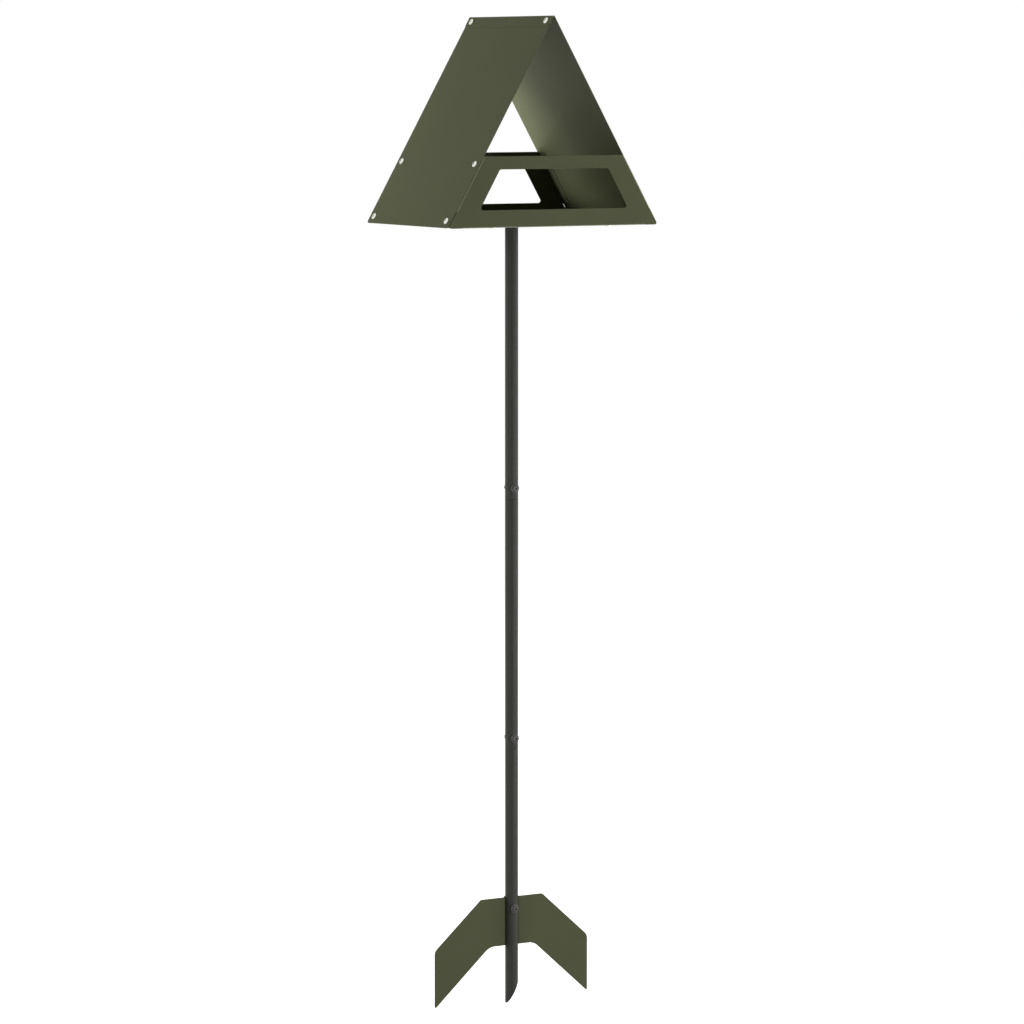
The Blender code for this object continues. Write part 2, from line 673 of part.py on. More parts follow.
def build_cap_plate(parts, cutters, coat, parent):
    """Square plate under the tray, welded to the upper tube over a spigot inside it."""
    half = CAP_PLATE_SIDE / 2
    corners = [(-half, -half), (half, -half), (half, half), (-half, half)]
    outline = rounded([(x, y, CAP_PLATE_CORNER) for x, y in corners])
    hole = CAP_SCREW_SPACING / 2
    centres = [(-hole, -hole), (hole, -hole), (hole, hole), (-hole, hole)]
    holes = [circle(centre, SCREW_HOLE_RADIUS) for centre in centres]
    mesh = finished_sheet("cap_plate", sheet_blank(outline, holes, CAP_PLATE_THICKNESS))
    place = Matrix.Translation((0.0, 0.0, CAP_PLATE_UNDERSIDE))
    plate = add_object("cap_plate", mesh, parts, coat, place, parent)
    outside = POLE_RADIUS - TUBE_WALL - CLEARANCE
    inside = outside - TUBE_WALL
    overlap = CAP_PLATE_THICKNESS / 2
    foot = -CAP_SPIGOT_LENGTH
    spigot = [(outside, overlap), (outside, foot), (inside, foot), (inside, overlap)]
    throat = POLE_RADIUS + CLEARANCE
    toe = throat + WELD_LEG
    bead = [(toe, overlap), (toe, 0.0), (throat, -WELD_LEG), (throat, overlap)]
    for name, profile in (("spigot", spigot), ("bead", bead)):
        ring = turned(name, profile, TUBE_STEPS, closed=True)
        combine(plate, ring, cutters, "UNION", place)


def ground_outline(half_shape):
    """Outline of the ground plate from the corners of its right half, in formed sizes."""
    left = [(-x, z, radius) for x, z, radius in reversed(half_shape)]
    return [*half_shape, *left]


def build_ground_plate(parts, cutters, coat, parent):
    """Flat wings on both sides of a half-round channel that is pressed round the back of the pole."""
    neutral = GROUND_SHEET / 2
    channel = POLE_RADIUS + CLEARANCE + neutral
    flare = GROUND_BEND_RADIUS + neutral
    flare_x = math.sqrt((channel + flare) ** 2 - flare**2)
    flare_turn = math.asin(flare / (channel + flare))
    wrap = math.pi / 2 - flare_turn
    wrap_length = channel * wrap
    flare_length = flare * wrap
    stretch = wrap_length + flare_length - flare_x

    def form(vert):
        """Move a point of the flat blank to its place on the pressed plate."""
        side = 1.0 if vert.co.x >= 0.0 else -1.0
        run = abs(vert.co.x)
        lift = vert.co.z - neutral
        if run <= wrap_length:
            turn = run / channel
            arm = channel + lift
            place = (arm * math.sin(turn), arm * math.cos(turn))
        elif run <= wrap_length + flare_length:
            turn = (wrap_length + flare_length - run) / flare
            arm = flare - lift
            place = (flare_x - arm * math.sin(turn), flare - arm * math.cos(turn))
        else:
            place = (run - stretch, lift)
        vert.co = (side * place[0], place[1], vert.co.y)

    top = GROUND_TOP_HEIGHT
    half_shape = [
        (GROUND_CROTCH_WIDTH / 2 + stretch, top - GROUND_CROTCH_DROP, GROUND_CROTCH_RADIUS),
        (GROUND_SPAN / 2 + stretch, top - GROUND_TIP_DROP, GROUND_TIP_RADIUS),
        (GROUND_SPAN / 2 + stretch, top - GROUND_SHOULDER_DROP, GROUND_SHOULDER_RADIUS),
        (GROUND_TOP_WIDTH / 2 + stretch, top, GROUND_TOP_RADIUS),
    ]
    blank = sheet_blank(rounded(ground_outline(half_shape), 2 * CORNER_STEPS), [], GROUND_SHEET)
    reach = wrap_length + flare_length
    for step in range(CHANNEL_STEPS + 1):
        slit(blank, (reach * (2 * step / CHANNEL_STEPS - 1), 0.0, 0.0), (1.0, 0.0, 0.0))
    for side in (-1, 1):
        slit(blank, (side * wrap_length, 0.0, 0.0), (1.0, 0.0, 0.0))
    for vert in blank.verts:
        form(vert)
    plate = add_object("ground_plate", finished_sheet("ground_plate", blank), parts, coat, parent=parent)
    drill_across(plate, GROUND_BOLT_HEIGHT, cutters)


def add_pair(parts, names, meshes, materials, point, inward, grip, parent):
    """Screw whose head sits at a point of an outer face, and its nut beyond the grip."""
    inward = Vector(inward).normalized()
    head = facing(Vector(point) - inward * CLEARANCE, -inward)
    seat = facing(Vector(point) + inward * (grip + CLEARANCE), inward)
    add_object(names[0], meshes[0], parts, materials[0], head, parent)
    add_object(names[1], meshes[1], parts, materials[1], seat, parent)


def build_sheet_screws(parts, cutters, zinc, parent):
    """Screws and nuts of the ridge, the panels, the eaves, the floor and the cap plate."""
    sheets = SHEET + LAP
    cap_grip = CAP_PLATE_THICKNESS + LAP
    tail = SCREW_NUT_HEIGHT + THREAD_END + 2 * CLEARANCE
    screw = baked(*screw_mesh("sheet_screw", sheets + tail), cutters)
    cap_screw = baked(*screw_mesh("cap_screw", cap_grip + tail), cutters)
    nut = baked(*nut_mesh("sheet_nut", SCREW_NUT_FLATS, SCREW_NUT_HEIGHT, SCREW_HOLE_RADIUS), cutters)
    places = []
    for side_name, slope in (("left", Slope(-1)), ("right", Slope(1))):
        rows = {"panel": (PANEL_SCREW_ROW, 0.0), "eaves": (EAVES_SCREW_ROW, 0.0)}
        if slope.side < 0:
            rows["ridge"] = (RIDGE_SCREW_ROW, -LAP)
        for row_name, (row, sunk) in rows.items():
            for end_name, end in (("front", -1), ("rear", 1)):
                point = slope.point(row, end * ROOF_SCREW_PLACE, sunk)
                places.append((f"{row_name}_{side_name}_{end_name}", screw, point, slope.inward, sheets))
    up = Vector((0.0, 0.0, 1.0))
    for x_name, x_side in (("left", -1), ("right", 1)):
        for y_name, y_side in (("front", -1), ("rear", 1)):
            x = x_side * FLOOR_SCREW_SPACING / 2
            point = Vector((x, y_side * FLOOR_SCREW_PLACE, HOUSE_BASE))
            places.append((f"floor_{x_name}_{y_name}", screw, point, up, sheets))
            half = CAP_SCREW_SPACING / 2
            point = Vector((x_side * half, y_side * half, CAP_PLATE_UNDERSIDE))
            places.append((f"cap_{x_name}_{y_name}", cap_screw, point, up, cap_grip))
    for name, shape, point, inward, grip in places:
        names = (f"screw_{name}", f"nut_{name}")
        add_pair(parts, names, (shape, nut), (zinc, zinc), point, inward, grip, parent)


def build_pole_bolts(parts, cutters, black, parent):
    """Bolts through the pole's two joints, and the one that holds the ground plate."""
    joint_grip = 2 * POLE_RADIUS
    plate_grip = joint_grip + CLEARANCE + GROUND_SHEET
    tail = BOLT_NUT_HEIGHT + THREAD_END + 2 * CLEARANCE
    collar = (BOLT_NUT_COLLAR_RADIUS, BOLT_NUT_COLLAR)
    nut = baked(*nut_mesh("lock_nut", BOLT_NUT_FLATS, BOLT_NUT_HEIGHT, BOLT_HOLE_RADIUS, collar), cutters)
    joint_bolt = baked(*bolt_mesh("joint_bolt", joint_grip + tail), cutters)
    plate_bolt = baked(*bolt_mesh("plate_bolt", plate_grip + tail), cutters)
    bolts = (
        ("upper_joint", joint_bolt, UPPER_JOINT_HEIGHT, joint_grip),
        ("lower_joint", joint_bolt, STAKE_JOINT_HEIGHT, joint_grip),
        ("ground_plate", plate_bolt, GROUND_BOLT_HEIGHT, plate_grip),
    )
    for name, shape, height, grip in bolts:
        names = (f"bolt_{name}", f"lock_nut_{name}")
        point = (0.0, -POLE_RADIUS, height)
        add_pair(parts, names, (shape, nut), (black, black), point, (0.0, 1.0, 0.0), grip, parent)


def build_feeder():
    """Build every piece under two empties, one for the house and one for the pole."""
    clear_scene()
    parts = new_collection("bird_feeder")
    cutters = new_collection("cutters", cutters=True)
    olive = coating("olive_powder_coat", OLIVE_COAT)
    dark = coating("dark_powder_coat", DARK_COAT)
    zinc = coating("zinc_plate", ZINC)
    black = coating("black_zinc_plate", BLACK_ZINC)
    pole = bpy.data.objects.new("pole", None)
    house = bpy.data.objects.new("house", None)
    for empty in (pole, house):
        parts.objects.link(empty)
    house.location = (0.0, 0.0, HOUSE_BASE)
    house.parent = pole
    bpy.context.view_layer.update()
    build_roof(parts, olive, house)
    build_panels(parts, olive, house)
    tray_place = Matrix.Translation((0.0, 0.0, TRAY_UNDERSIDE))
    add_object("seed_tray", tray_mesh(), parts, olive, tray_place, house)
    build_tubes(parts, cutters, dark, pole)
    build_cap_plate(parts, cutters, dark, pole)
    build_ground_plate(parts, cutters, olive, pole)
    build_sheet_screws(parts, cutters, zinc, house)
    build_pole_bolts(parts, cutters, black, pole)


build_feeder()
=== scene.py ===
"""Looks of the bird feeder: its finishes, its fine meshes and a plain studio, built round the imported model.

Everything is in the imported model's frame, in metres, with +Z up and the tip of the stake at the
origin. The ridge of the house runs along Y, and -Y is its front.
"""

from __future__ import annotations

import json
import logging
import math
from dataclasses import dataclass, field
from enum import Enum
from typing import Any, Iterable, Optional, Sequence, Union

import bmesh
import bpy
from mathutils import Matrix, Vector

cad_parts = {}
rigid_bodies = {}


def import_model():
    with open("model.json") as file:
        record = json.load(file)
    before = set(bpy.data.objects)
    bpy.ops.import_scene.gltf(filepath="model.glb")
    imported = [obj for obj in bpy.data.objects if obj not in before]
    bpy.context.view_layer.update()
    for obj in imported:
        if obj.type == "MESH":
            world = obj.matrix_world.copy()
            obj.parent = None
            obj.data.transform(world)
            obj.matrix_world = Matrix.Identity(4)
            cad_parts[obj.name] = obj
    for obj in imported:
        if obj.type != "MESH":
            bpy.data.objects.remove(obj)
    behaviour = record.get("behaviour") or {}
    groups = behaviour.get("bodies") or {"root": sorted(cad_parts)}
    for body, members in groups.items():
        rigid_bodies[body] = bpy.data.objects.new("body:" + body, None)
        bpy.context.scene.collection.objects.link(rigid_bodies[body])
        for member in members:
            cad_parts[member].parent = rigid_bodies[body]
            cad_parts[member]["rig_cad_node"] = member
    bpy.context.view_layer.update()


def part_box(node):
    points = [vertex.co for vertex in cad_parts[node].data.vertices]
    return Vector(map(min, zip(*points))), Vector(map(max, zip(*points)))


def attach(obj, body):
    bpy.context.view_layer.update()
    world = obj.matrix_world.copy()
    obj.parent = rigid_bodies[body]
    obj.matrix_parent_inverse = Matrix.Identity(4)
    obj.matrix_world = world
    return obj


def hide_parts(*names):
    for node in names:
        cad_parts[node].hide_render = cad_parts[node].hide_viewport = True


MM = 0.001
# Where the real pieces touch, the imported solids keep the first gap, and the fine meshes only the second.
PACKED_GAP = 0.3 * MM
FIT_GAP = 0.05 * MM
# Attributes that the powder coat reads: 1 in a bend, where it paints a highlight, and 1 on the sheltered side
# of a roof sheet.
BENT = "bent"
SHELTERED = "sheltered"
WELD_DISTANCE = 0.001 * MM
SLIT_TOLERANCE = 1e-7
LEAST_REACH = 1e-9
FLAT_ANGLE = math.radians(0.2)
SQUARE = math.radians(90.0)
HEXAGON = 6
HOLE_STEPS = 32
X_AXIS = Vector((1.0, 0.0, 0.0))
Y_AXIS = Vector((0.0, 1.0, 0.0))
Z_AXIS = Vector((0.0, 0.0, 1.0))
LOG = logging.getLogger("bird_feeder")

Point2 = tuple[float, float]
Corner = tuple[float, float, float]
Colour = tuple[float, float, float]
Values = dict[Union[str, int], Any]
Operand = Union["Wire", float, int]


class Slot(Enum):
    """Finishes of the record, by the names of its material slots."""

    OLIVE = "olive_powder_coat"
    DARK = "dark_powder_coat"
    ZINC = "zinc_plate"
    BLACK = "black_zinc_plate"


class Side(Enum):
    """Which way a piece faces along an axis."""

    LOW = -1
    HIGH = 1


class Wire:
    """One output socket of a node, which takes part in sums as a number does."""

    def __init__(self, graph: "Graph", socket: bpy.types.NodeSocket) -> None:
        """Keep the graph that owns the socket."""
        self.graph = graph
        self.socket = socket

    def __add__(self, other: Operand) -> "Wire":
        """Sum."""
        return self.graph.calculate("ADD", self, other)

    def __radd__(self, other: Operand) -> "Wire":
        """Sum, from the right."""
        return self.graph.calculate("ADD", other, self)

    def __sub__(self, other: Operand) -> "Wire":
        """Difference."""
        return self.graph.calculate("SUBTRACT", self, other)

    def __rsub__(self, other: Operand) -> "Wire":
        """Difference, from the right."""
        return self.graph.calculate("SUBTRACT", other, self)

    def __mul__(self, other: Operand) -> "Wire":
        """Product."""
        return self.graph.calculate("MULTIPLY", self, other)

    def __rmul__(self, other: Operand) -> "Wire":
        """Product, from the right."""
        return self.graph.calculate("MULTIPLY", other, self)

    def __truediv__(self, other: Operand) -> "Wire":
        """Quotient."""
        return self.graph.calculate("DIVIDE", self, other)

    def __rtruediv__(self, other: Operand) -> "Wire":
        """Quotient, from the right."""
        return self.graph.calculate("DIVIDE", other, self)

    def clipped(self) -> "Wire":
        """The value, kept between 0 and 1."""
        return self.graph.wire("ShaderNodeClamp", values={"Value": self})

    def applied(self, operation: str, *others: Operand) -> "Wire":
        """The value under a named Math operation."""
        return self.graph.calculate(operation, self, *others)


class Graph:
    """A node tree that is written as expressions."""

    def __init__(self, tree: bpy.types.NodeTree) -> None:
        """Keep the tree."""
        self.tree = tree

    @classmethod
    def emptied(cls, owner: Union[bpy.types.Material, bpy.types.World]) -> "Graph":
        """Start the nodes of a material or a world afresh.

        Args:
            owner: The material or world.

        Returns:
            The graph of its empty tree.
        """
        owner.use_nodes = True
        owner.node_tree.nodes.clear()
        return cls(owner.node_tree)

    def node(
        self,
        kind: str,
        settings: Optional[dict[str, Any]] = None,
        values: Optional[Values] = None,
    ) -> bpy.types.Node:
        """Add a node.

        Args:
            kind: Type name of the node.
            settings: Properties, set first.
            values: Values or wires for its input sockets, by name or number.

        Returns:
            The new node.
        """
        node = self.tree.nodes.new(kind)
        for key, value in (settings or {}).items():
            setattr(node, key, value)
        for socket, value in (values or {}).items():
            if isinstance(value, Wire):
                self.tree.links.new(value.socket, node.inputs[socket])
            else:
                node.inputs[socket].default_value = value
        return node

    def wire(
        self,
        kind: str,
        settings: Optional[dict[str, Any]] = None,
        values: Optional[Values] = None,
        output: Union[str, int] = 0,
    ) -> Wire:
        """Add a node and return one of its outputs."""
        return Wire(self, self.node(kind, settings, values).outputs[output])

    def calculate(self, operation: str, *operands: Operand) -> Wire:
        """Result of a Math node."""
        return self.wire("ShaderNodeMath", {"operation": operation}, dict(enumerate(operands)))

    def blend(self, factor: Operand, first: Any, second: Any) -> Wire:
        """Mix two colours."""
        values = {0: factor, 6: first, 7: second}
        return self.wire("ShaderNodeMix", {"data_type": "RGBA"}, values, output=2)

    def noise(self, place: Wire, size: float, detail: float, rough: float = 0.5) -> Wire:
        """Noise from 0 to 1 with features of about a size, in metres."""
        values = {"Vector": place, "Scale": 1.0 / size, "Detail": detail, "Roughness": rough}
        return self.wire("ShaderNodeTexNoise", values=values)

    def bump(self, height: Wire, depth: float) -> Wire:
        """Normal of a surface whose height of 1 stands this far out, in metres."""
        values = {"Strength": 1.0, "Distance": depth, "Height": height}
        return self.wire("ShaderNodeBump", values=values)

    def attribute(self, name: str) -> Wire:
        """A number that the mesh carries."""
        return self.wire("ShaderNodeAttribute", {"attribute_name": name}, output="Fac")


@dataclass(frozen=True)
class Finish:
    """Base of the finishes: each gives what its Principled shader takes."""

    name: str
    colour: Colour

    def sockets(self, graph: Graph) -> Values:
        """Values and wires of the shader's sockets. Each finish has its own."""
        raise NotImplementedError

    def build(self) -> bpy.types.Material:
        """Make the material.

        Returns:
            The finish as a material.
        """
        material = bpy.data.materials.new(self.name)
        graph = Graph.emptied(material)
        shader = graph.wire("ShaderNodeBsdfPrincipled", values=self.sockets(graph))
        graph.node("ShaderNodeOutputMaterial", values={"Surface": shader})
        return material


@dataclass(frozen=True)
class PowderCoat(Finish):
    """Satin powder coat: orange peel, faint clouds, a little fleck, and a painted highlight along its bends,
    which also get more gloss.

    The sheltered side of a roof sheet keeps a little more gloss than the weathered ones.
    """

    cloud: float = 0.07
    cloud_size: float = 90.0 * MM
    cloud_detail: float = 3.0
    fleck: float = 0.05
    fleck_size: float = 0.9 * MM
    fleck_detail: float = 1.0
    roughness: float = 0.46
    roughness_spread: float = 0.1
    peel_size: float = 1.7 * MM
    peel_detail: float = 2.0
    peel_roughness: float = 0.6
    peel_depth: float = 0.012 * MM
    specular: float = 0.02
    bend_painted_highlight: float = 0.9
    bend_gloss: float = 0.9
    sheltered_gloss: float = 0.12
    gloss_roughness: float = 0.4

    def sockets(self, graph: Graph) -> Values:
        """What the coat's shader takes.

        Args:
            graph: The material's graph.

        Returns:
            Values and wires by socket.
        """
        place = graph.wire("ShaderNodeTexCoord", output="Object")
        clouds = graph.noise(place, self.cloud_size, self.cloud_detail)
        flecks = graph.noise(place, self.fleck_size, self.fleck_detail)
        peel = graph.noise(place, self.peel_size, self.peel_detail, self.peel_roughness)
        bend_mask = graph.attribute(BENT)
        sheltered = graph.attribute(SHELTERED)
        shade = (clouds - 0.5) * (2 * self.cloud) + (flecks - 0.5) * (2 * self.fleck) + 1.0
        # Bends are lightened in the base colour: a painted highlight along each fold, not wear.
        shade = shade + bend_mask * self.bend_painted_highlight
        # The mix runs from black to twice the colour, so that a shade of 1 leaves it as it is.
        twice = tuple(2 * channel for channel in self.colour) + (1.0,)
        return {
            "Base Color": graph.blend((shade * 0.5).clipped(), (0.0, 0.0, 0.0, 1.0), twice),
            "Roughness": (clouds - 0.5) * self.roughness_spread + self.roughness,
            "Specular IOR Level": self.specular,
            "Coat Weight": (bend_mask * self.bend_gloss + sheltered * self.sheltered_gloss).clipped(),
            "Coat Roughness": self.gloss_roughness,
            "Normal": graph.bump(peel, self.peel_depth),
        }


@dataclass(frozen=True)
class PlatedSteel(Finish):
    """Electroplated steel: a metallic layer with a fine drawn grain and cloudy gloss."""

    metallic: float = 1.0
    roughness: float = 0.3
    roughness_spread: float = 0.16
    cloud_size: float = 4.0 * MM
    cloud_detail: float = 3.0
    tint: float = 0.12
    grain_size: float = 0.35 * MM
    grain_detail: float = 1.0
    grain_depth: float = 0.004 * MM
    specular: float = 0.5

    def sockets(self, graph: Graph) -> Values:
        """What the plating's shader takes.

        Args:
            graph: The material's graph.

        Returns:
            Values and wires by socket.
        """
        place = graph.wire("ShaderNodeTexCoord", output="Object")
        clouds = graph.noise(place, self.cloud_size, self.cloud_detail)
        grain = graph.noise(place, self.grain_size, self.grain_detail)
        dull = tuple(channel * (1 - self.tint) for channel in self.colour) + (1.0,)
        bright = tuple(min(1.0, channel * (1 + self.tint)) for channel in self.colour) + (1.0,)
        return {
            "Base Color": graph.blend(clouds, dull, bright),
            "Metallic": self.metallic,
            "Roughness": (clouds - 0.5) * self.roughness_spread + self.roughness,
            "Specular IOR Level": self.specular,
            "Normal": graph.bump(grain, self.grain_depth),
        }


class Palette:
    """The four finishes of the feeder, by slot."""

    def __init__(self) -> None:
        """Build each finish once."""
        finishes = {
            Slot.OLIVE: PowderCoat("satin_olive_coat", (0.085, 0.0925, 0.0505)),
            Slot.DARK: PowderCoat(
                "satin_charcoal_coat",
                (0.047, 0.048, 0.0415),
                roughness=0.4,
                specular=0.08,
                cloud_size=40.0 * MM,
            ),
            Slot.ZINC: PlatedSteel("bright_zinc", (0.76, 0.78, 0.70)),
            Slot.BLACK: PlatedSteel(
                "black_zinc",
                (0.055, 0.054, 0.050),
                metallic=0.15,
                roughness=0.42,
                tint=0.2,
                specular=0.25,
            ),
        }
        self.materials = {slot: finish.build() for slot, finish in finishes.items()}

    def __getitem__(self, slot: Slot) -> bpy.types.Material:
        """Material of a slot."""
        return self.materials[slot]


class Outline:
    """Plane outlines with rounded corners."""

    @staticmethod
    def rounded(corners: Sequence[Corner], steps: int) -> list[Point2]:
        """Outline through corners that each have their own arc.

        Args:
            corners: (x, y, radius) of each corner.
            steps: Edges of each arc.

        Returns:
            The outline's points.
        """
        outline: list[Point2] = []
        for index, (x, y, radius) in enumerate(corners):
            corner = Vector((x, y))
            before = (Vector(corners[index - 1][:2]) - corner).normalized()
            after = (Vector(corners[(index + 1) % len(corners)][:2]) - corner).normalized()
            if radius <= 0.0:
                outline.append((x, y))
                continue
            half = before.angle(after) / 2
            centre = corner + (before + after).normalized() * radius / math.sin(half)
            start = corner + before * radius / math.tan(half) - centre
            sweep = (math.pi - 2 * half) * (1 if before.cross(after) < 0 else -1)
            for step in range(steps + 1):
                outline.append(tuple(centre + Matrix.Rotation(sweep * step / steps, 2) @ start))
        return outline

    @classmethod
    def rectangle(cls, low: Point2, high: Point2, radius: float, steps: int) -> list[Point2]:
        """Rectangle between two corners, all four of them rounded."""
        ends = [low, (high[0], low[1]), high, (low[0], high[1])]
        return cls.rounded([(x, y, radius) for x, y in ends], steps)

    @staticmethod
    def circle(centre: Point2, radius: float) -> list[Point2]:
        """Points of a hole's edge."""
        turns = [math.tau * step / HOLE_STEPS for step in range(HOLE_STEPS)]
        return [(centre[0] + radius * math.cos(a), centre[1] + radius * math.sin(a)) for a in turns]


class Workshop:
    """Turns meshes, modifiers and node trees into finished pieces."""

    ease_segments = 2
    hard_angle = math.radians(40.0)

    @staticmethod
    def link(name: str, data: bpy.types.ID) -> bpy.types.Object:
        """Put a new object in the scene.

        Args:
            name: Name of the object.
            data: Its mesh, curve, light or camera.

        Returns:
            The object, at the origin.
        """
        obj = bpy.data.objects.new(name, data)
        bpy.context.scene.collection.objects.link(obj)
        return obj

    @staticmethod
    def discard(obj: bpy.types.Object) -> None:
        """Remove an object from the scene."""
        bpy.data.objects.remove(obj, do_unlink=True)

    @staticmethod
    def evaluated(obj: bpy.types.Object) -> bpy.types.Mesh:
        """Plain mesh of an object with its modifiers worked out.

        Args:
            obj: The object.

        Returns:
            A new mesh.
        """
        graph = bpy.context.evaluated_depsgraph_get()
        graph.update()
        return bpy.data.meshes.new_from_object(obj.evaluated_get(graph))

    @classmethod
    def baked(cls, obj: bpy.types.Object) -> bpy.types.Object:
        """Work out an object's modifiers and remove them.

        Args:
            obj: The object.

        Returns:
            The same object, with a plain mesh.
        """
        mesh = cls.evaluated(obj)
        obj.modifiers.clear()
        obj.data = mesh
        return obj

    @classmethod
    def cut(
        cls,
        obj: bpy.types.Object,
        tools: Iterable[tuple[bpy.types.Mesh, Matrix]],
        operation: str = "DIFFERENCE",
    ) -> bpy.types.Object:
        """Cut meshes from an object, or join them to it.

        Args:
            obj: The object.
            tools: Each tool's mesh and place.
            operation: Boolean operation.

        Returns:
            The object, with the cuts worked out.
        """
        helpers = []
        for number, (mesh, place) in enumerate(tools):
            helper = cls.link(f"{obj.name}_tool_{number}", mesh)
            helper.matrix_world = place
            helpers.append(helper)
            step = obj.modifiers.new(helper.name, "BOOLEAN")
            step.operation = operation
            step.solver = "EXACT"
            step.object = helper
        cls.baked(obj)
        for helper in helpers:
            cls.discard(helper)
        return obj

    @classmethod
    def ease_edges(cls, obj: bpy.types.Object, width: float) -> bpy.types.Object:
        """Round off every hard edge.

        Args:
            obj: The object.
            width: Width of the rounding.

        Returns:
            The object, with its edges rounded.
        """
        bevel = obj.modifiers.new("eased edges", "BEVEL")
        bevel.width = width
        bevel.segments = cls.ease_segments
        bevel.limit_method = "ANGLE"
        bevel.angle_limit = cls.hard_angle
        bevel.harden_normals = True
        obj.data.shade_smooth()
        return cls.baked(obj)

    @staticmethod
    def face_outward(mesh: bpy.types.Mesh) -> None:
        """Turn every face of a closed mesh outward.

        Args:
            mesh: The mesh.
        """
        shape = bmesh.new()
        shape.from_mesh(mesh)
        bmesh.ops.recalc_face_normals(shape, faces=shape.faces)
        if shape.calc_volume(signed=True) < 0.0:
            bmesh.ops.reverse_faces(shape, faces=shape.faces)
        shape.to_mesh(mesh)
        shape.free()

    @staticmethod
    def smooth(mesh: bpy.types.Mesh, angle: float = 34.0) -> None:
        """Shade smooth up to an angle in degrees, and keep sharper edges."""
        mesh.shade_smooth()
        mesh.set_sharp_from_angle(angle=math.radians(angle))

    @staticmethod
    def mesh_of(shape: bmesh.types.BMesh, name: str, place: Matrix) -> bpy.types.Mesh:
        """Turn a working shape into a mesh, and free the shape.

        Args:
            shape: The working shape.
            name: Name of the mesh.
            place: Where it goes.

        Returns:
            The mesh, at its place.
        """
        shape.transform(place)
        mesh = bpy.data.meshes.new(name)
        shape.to_mesh(mesh)
        shape.free()
        return mesh

    @classmethod
    def prism(cls, radius: float, bottom: float, top: float, sides: int = HOLE_STEPS) -> bpy.types.Mesh:
        """Upright prism, or cylinder, between two heights.

        Args:
            radius: Radius of its corners.
            bottom: Height of its lower end.
            top: Height of its upper end.
            sides: How many sides it has.

        Returns:
            The mesh.
        """
        shape = bmesh.new()
        size = {"radius1": radius, "radius2": radius, "depth": top - bottom}
        bmesh.ops.create_cone(shape, cap_ends=True, segments=sides, **size)
        return cls.mesh_of(shape, "prism", Matrix.Translation((0.0, 0.0, (top + bottom) / 2)))

    @classmethod
    def block(cls, size: Sequence[float], centre: Sequence[float]) -> bpy.types.Mesh:
        """Box from its size and centre.

        Args:
            size: Its three sides.
            centre: Its middle.

        Returns:
            The mesh.
        """
        shape = bmesh.new()
        bmesh.ops.create_cube(shape, size=1.0)
        return cls.mesh_of(shape, "block", Matrix.Translation(centre) @ Matrix.Diagonal((*size, 1.0)))

    @staticmethod
    def deliver(obj: bpy.types.Object, palette: Palette, slot: Slot, nodes: Sequence[str]) -> None:
        """Hand a finished piece to the frame.

        Args:
            obj: The piece, at the origin, with its place in its mesh.
            palette: The finishes.
            slot: The record's slot of its finish.
            nodes: The CAD nodes that it stands for.
        """
        obj.data.materials.clear()
        obj.data.materials.append(palette[slot])
        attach(obj, "root")
        if nodes:
            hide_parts(*nodes)
        LOG.info("%s: %d faces, stands for %d nodes", obj.name, len(obj.data.polygons), len(nodes))


class NodeRecipe:
    """Base of the Geometry Nodes trees: named inputs, and an end in Realize Instances and Set Material."""

    title = "recipe"
    inputs: Sequence[tuple[str, str, Any]] = ()

    def __init__(self) -> None:
        """Make the tree with its named inputs."""
        self.tree = bpy.data.node_groups.new(self.title, "GeometryNodeTree")
        self.graph = Graph(self.tree)
        face = self.tree.interface
        face.new_socket("Geometry", in_out="OUTPUT", socket_type="NodeSocketGeometry")
        self.keys = {}
        for name, kind, value in (
            ("Geometry", "NodeSocketGeometry", None),
            *self.inputs,
            ("Finish", "NodeSocketMaterial", None),
        ):
            socket = face.new_socket(name, in_out="INPUT", socket_type=kind)
            if value is not None:
                socket.default_value = value
            self.keys[name] = socket.identifier
        self.start = self.tree.nodes.new("NodeGroupInput")
        real = self.graph.wire("GeometryNodeRealizeInstances", values={"Geometry": self.shape()})
        values = {"Geometry": real, "Material": self.given("Finish")}
        dressed = self.graph.wire("GeometryNodeSetMaterial", values=values)
        self.graph.node("NodeGroupOutput", values={0: dressed})

    def given(self, name: str) -> Wire:
        """One of the tree's named inputs."""
        return Wire(self.graph, self.start.outputs[name])

    def shape(self) -> Wire:
        """Geometry of the recipe. Each recipe has its own."""
        raise NotImplementedError

    def grid(self, rows: Operand, columns: Operand) -> tuple[Wire, Wire, Wire]:
        """Grid of vertices, to be rolled up.

        Args:
            rows: How many rows it has.
            columns: How many vertices each row has.

        Returns:
            The grid, and each vertex's row and column.
        """
        grid = self.graph.wire("GeometryNodeMeshGrid", values={"Vertices X": rows, "Vertices Y": columns})
        index = self.graph.wire("GeometryNodeInputIndex")
        row = (index / columns).applied("FLOOR")
        return grid, row, index - row * columns

    def polar(self, radius: Wire, angle: Wire, height: Wire) -> Wire:
        """Place at a radius, an angle and a height about Z."""
        values = {"X": radius * angle.applied("COSINE"), "Y": radius * angle.applied("SINE"), "Z": height}
        return self.graph.wire("ShaderNodeCombineXYZ", values=values)

    def rolled(self, grid: Wire, place: Wire) -> Wire:
        """Move a grid's vertices to their places, and close its seam and its poles.

        Args:
            grid: The grid.
            place: Each vertex's place.

        Returns:
            The closed surface.
        """
        moved = self.graph.wire("GeometryNodeSetPosition", values={"Geometry": grid, "Position": place})
        values = {"Geometry": moved, "Distance": WELD_DISTANCE}
        return self.graph.wire("GeometryNodeMergeByDistance", values=values)

    def carried_out(self, obj: bpy.types.Object, **values: Any) -> bpy.types.Object:
        """Run the recipe on an object.

        Args:
            obj: Its mesh is the recipe's geometry.
            values: The tree's inputs, by name with _ for a space.

        Returns:
            The object with the plain mesh that came out.
        """
        modifier = obj.modifiers.new(self.title, "NODES")
        modifier.node_group = self.tree
        for name, value in values.items():
            modifier[self.keys[name.replace("_", " ")]] = value
        return Workshop.baked(obj)


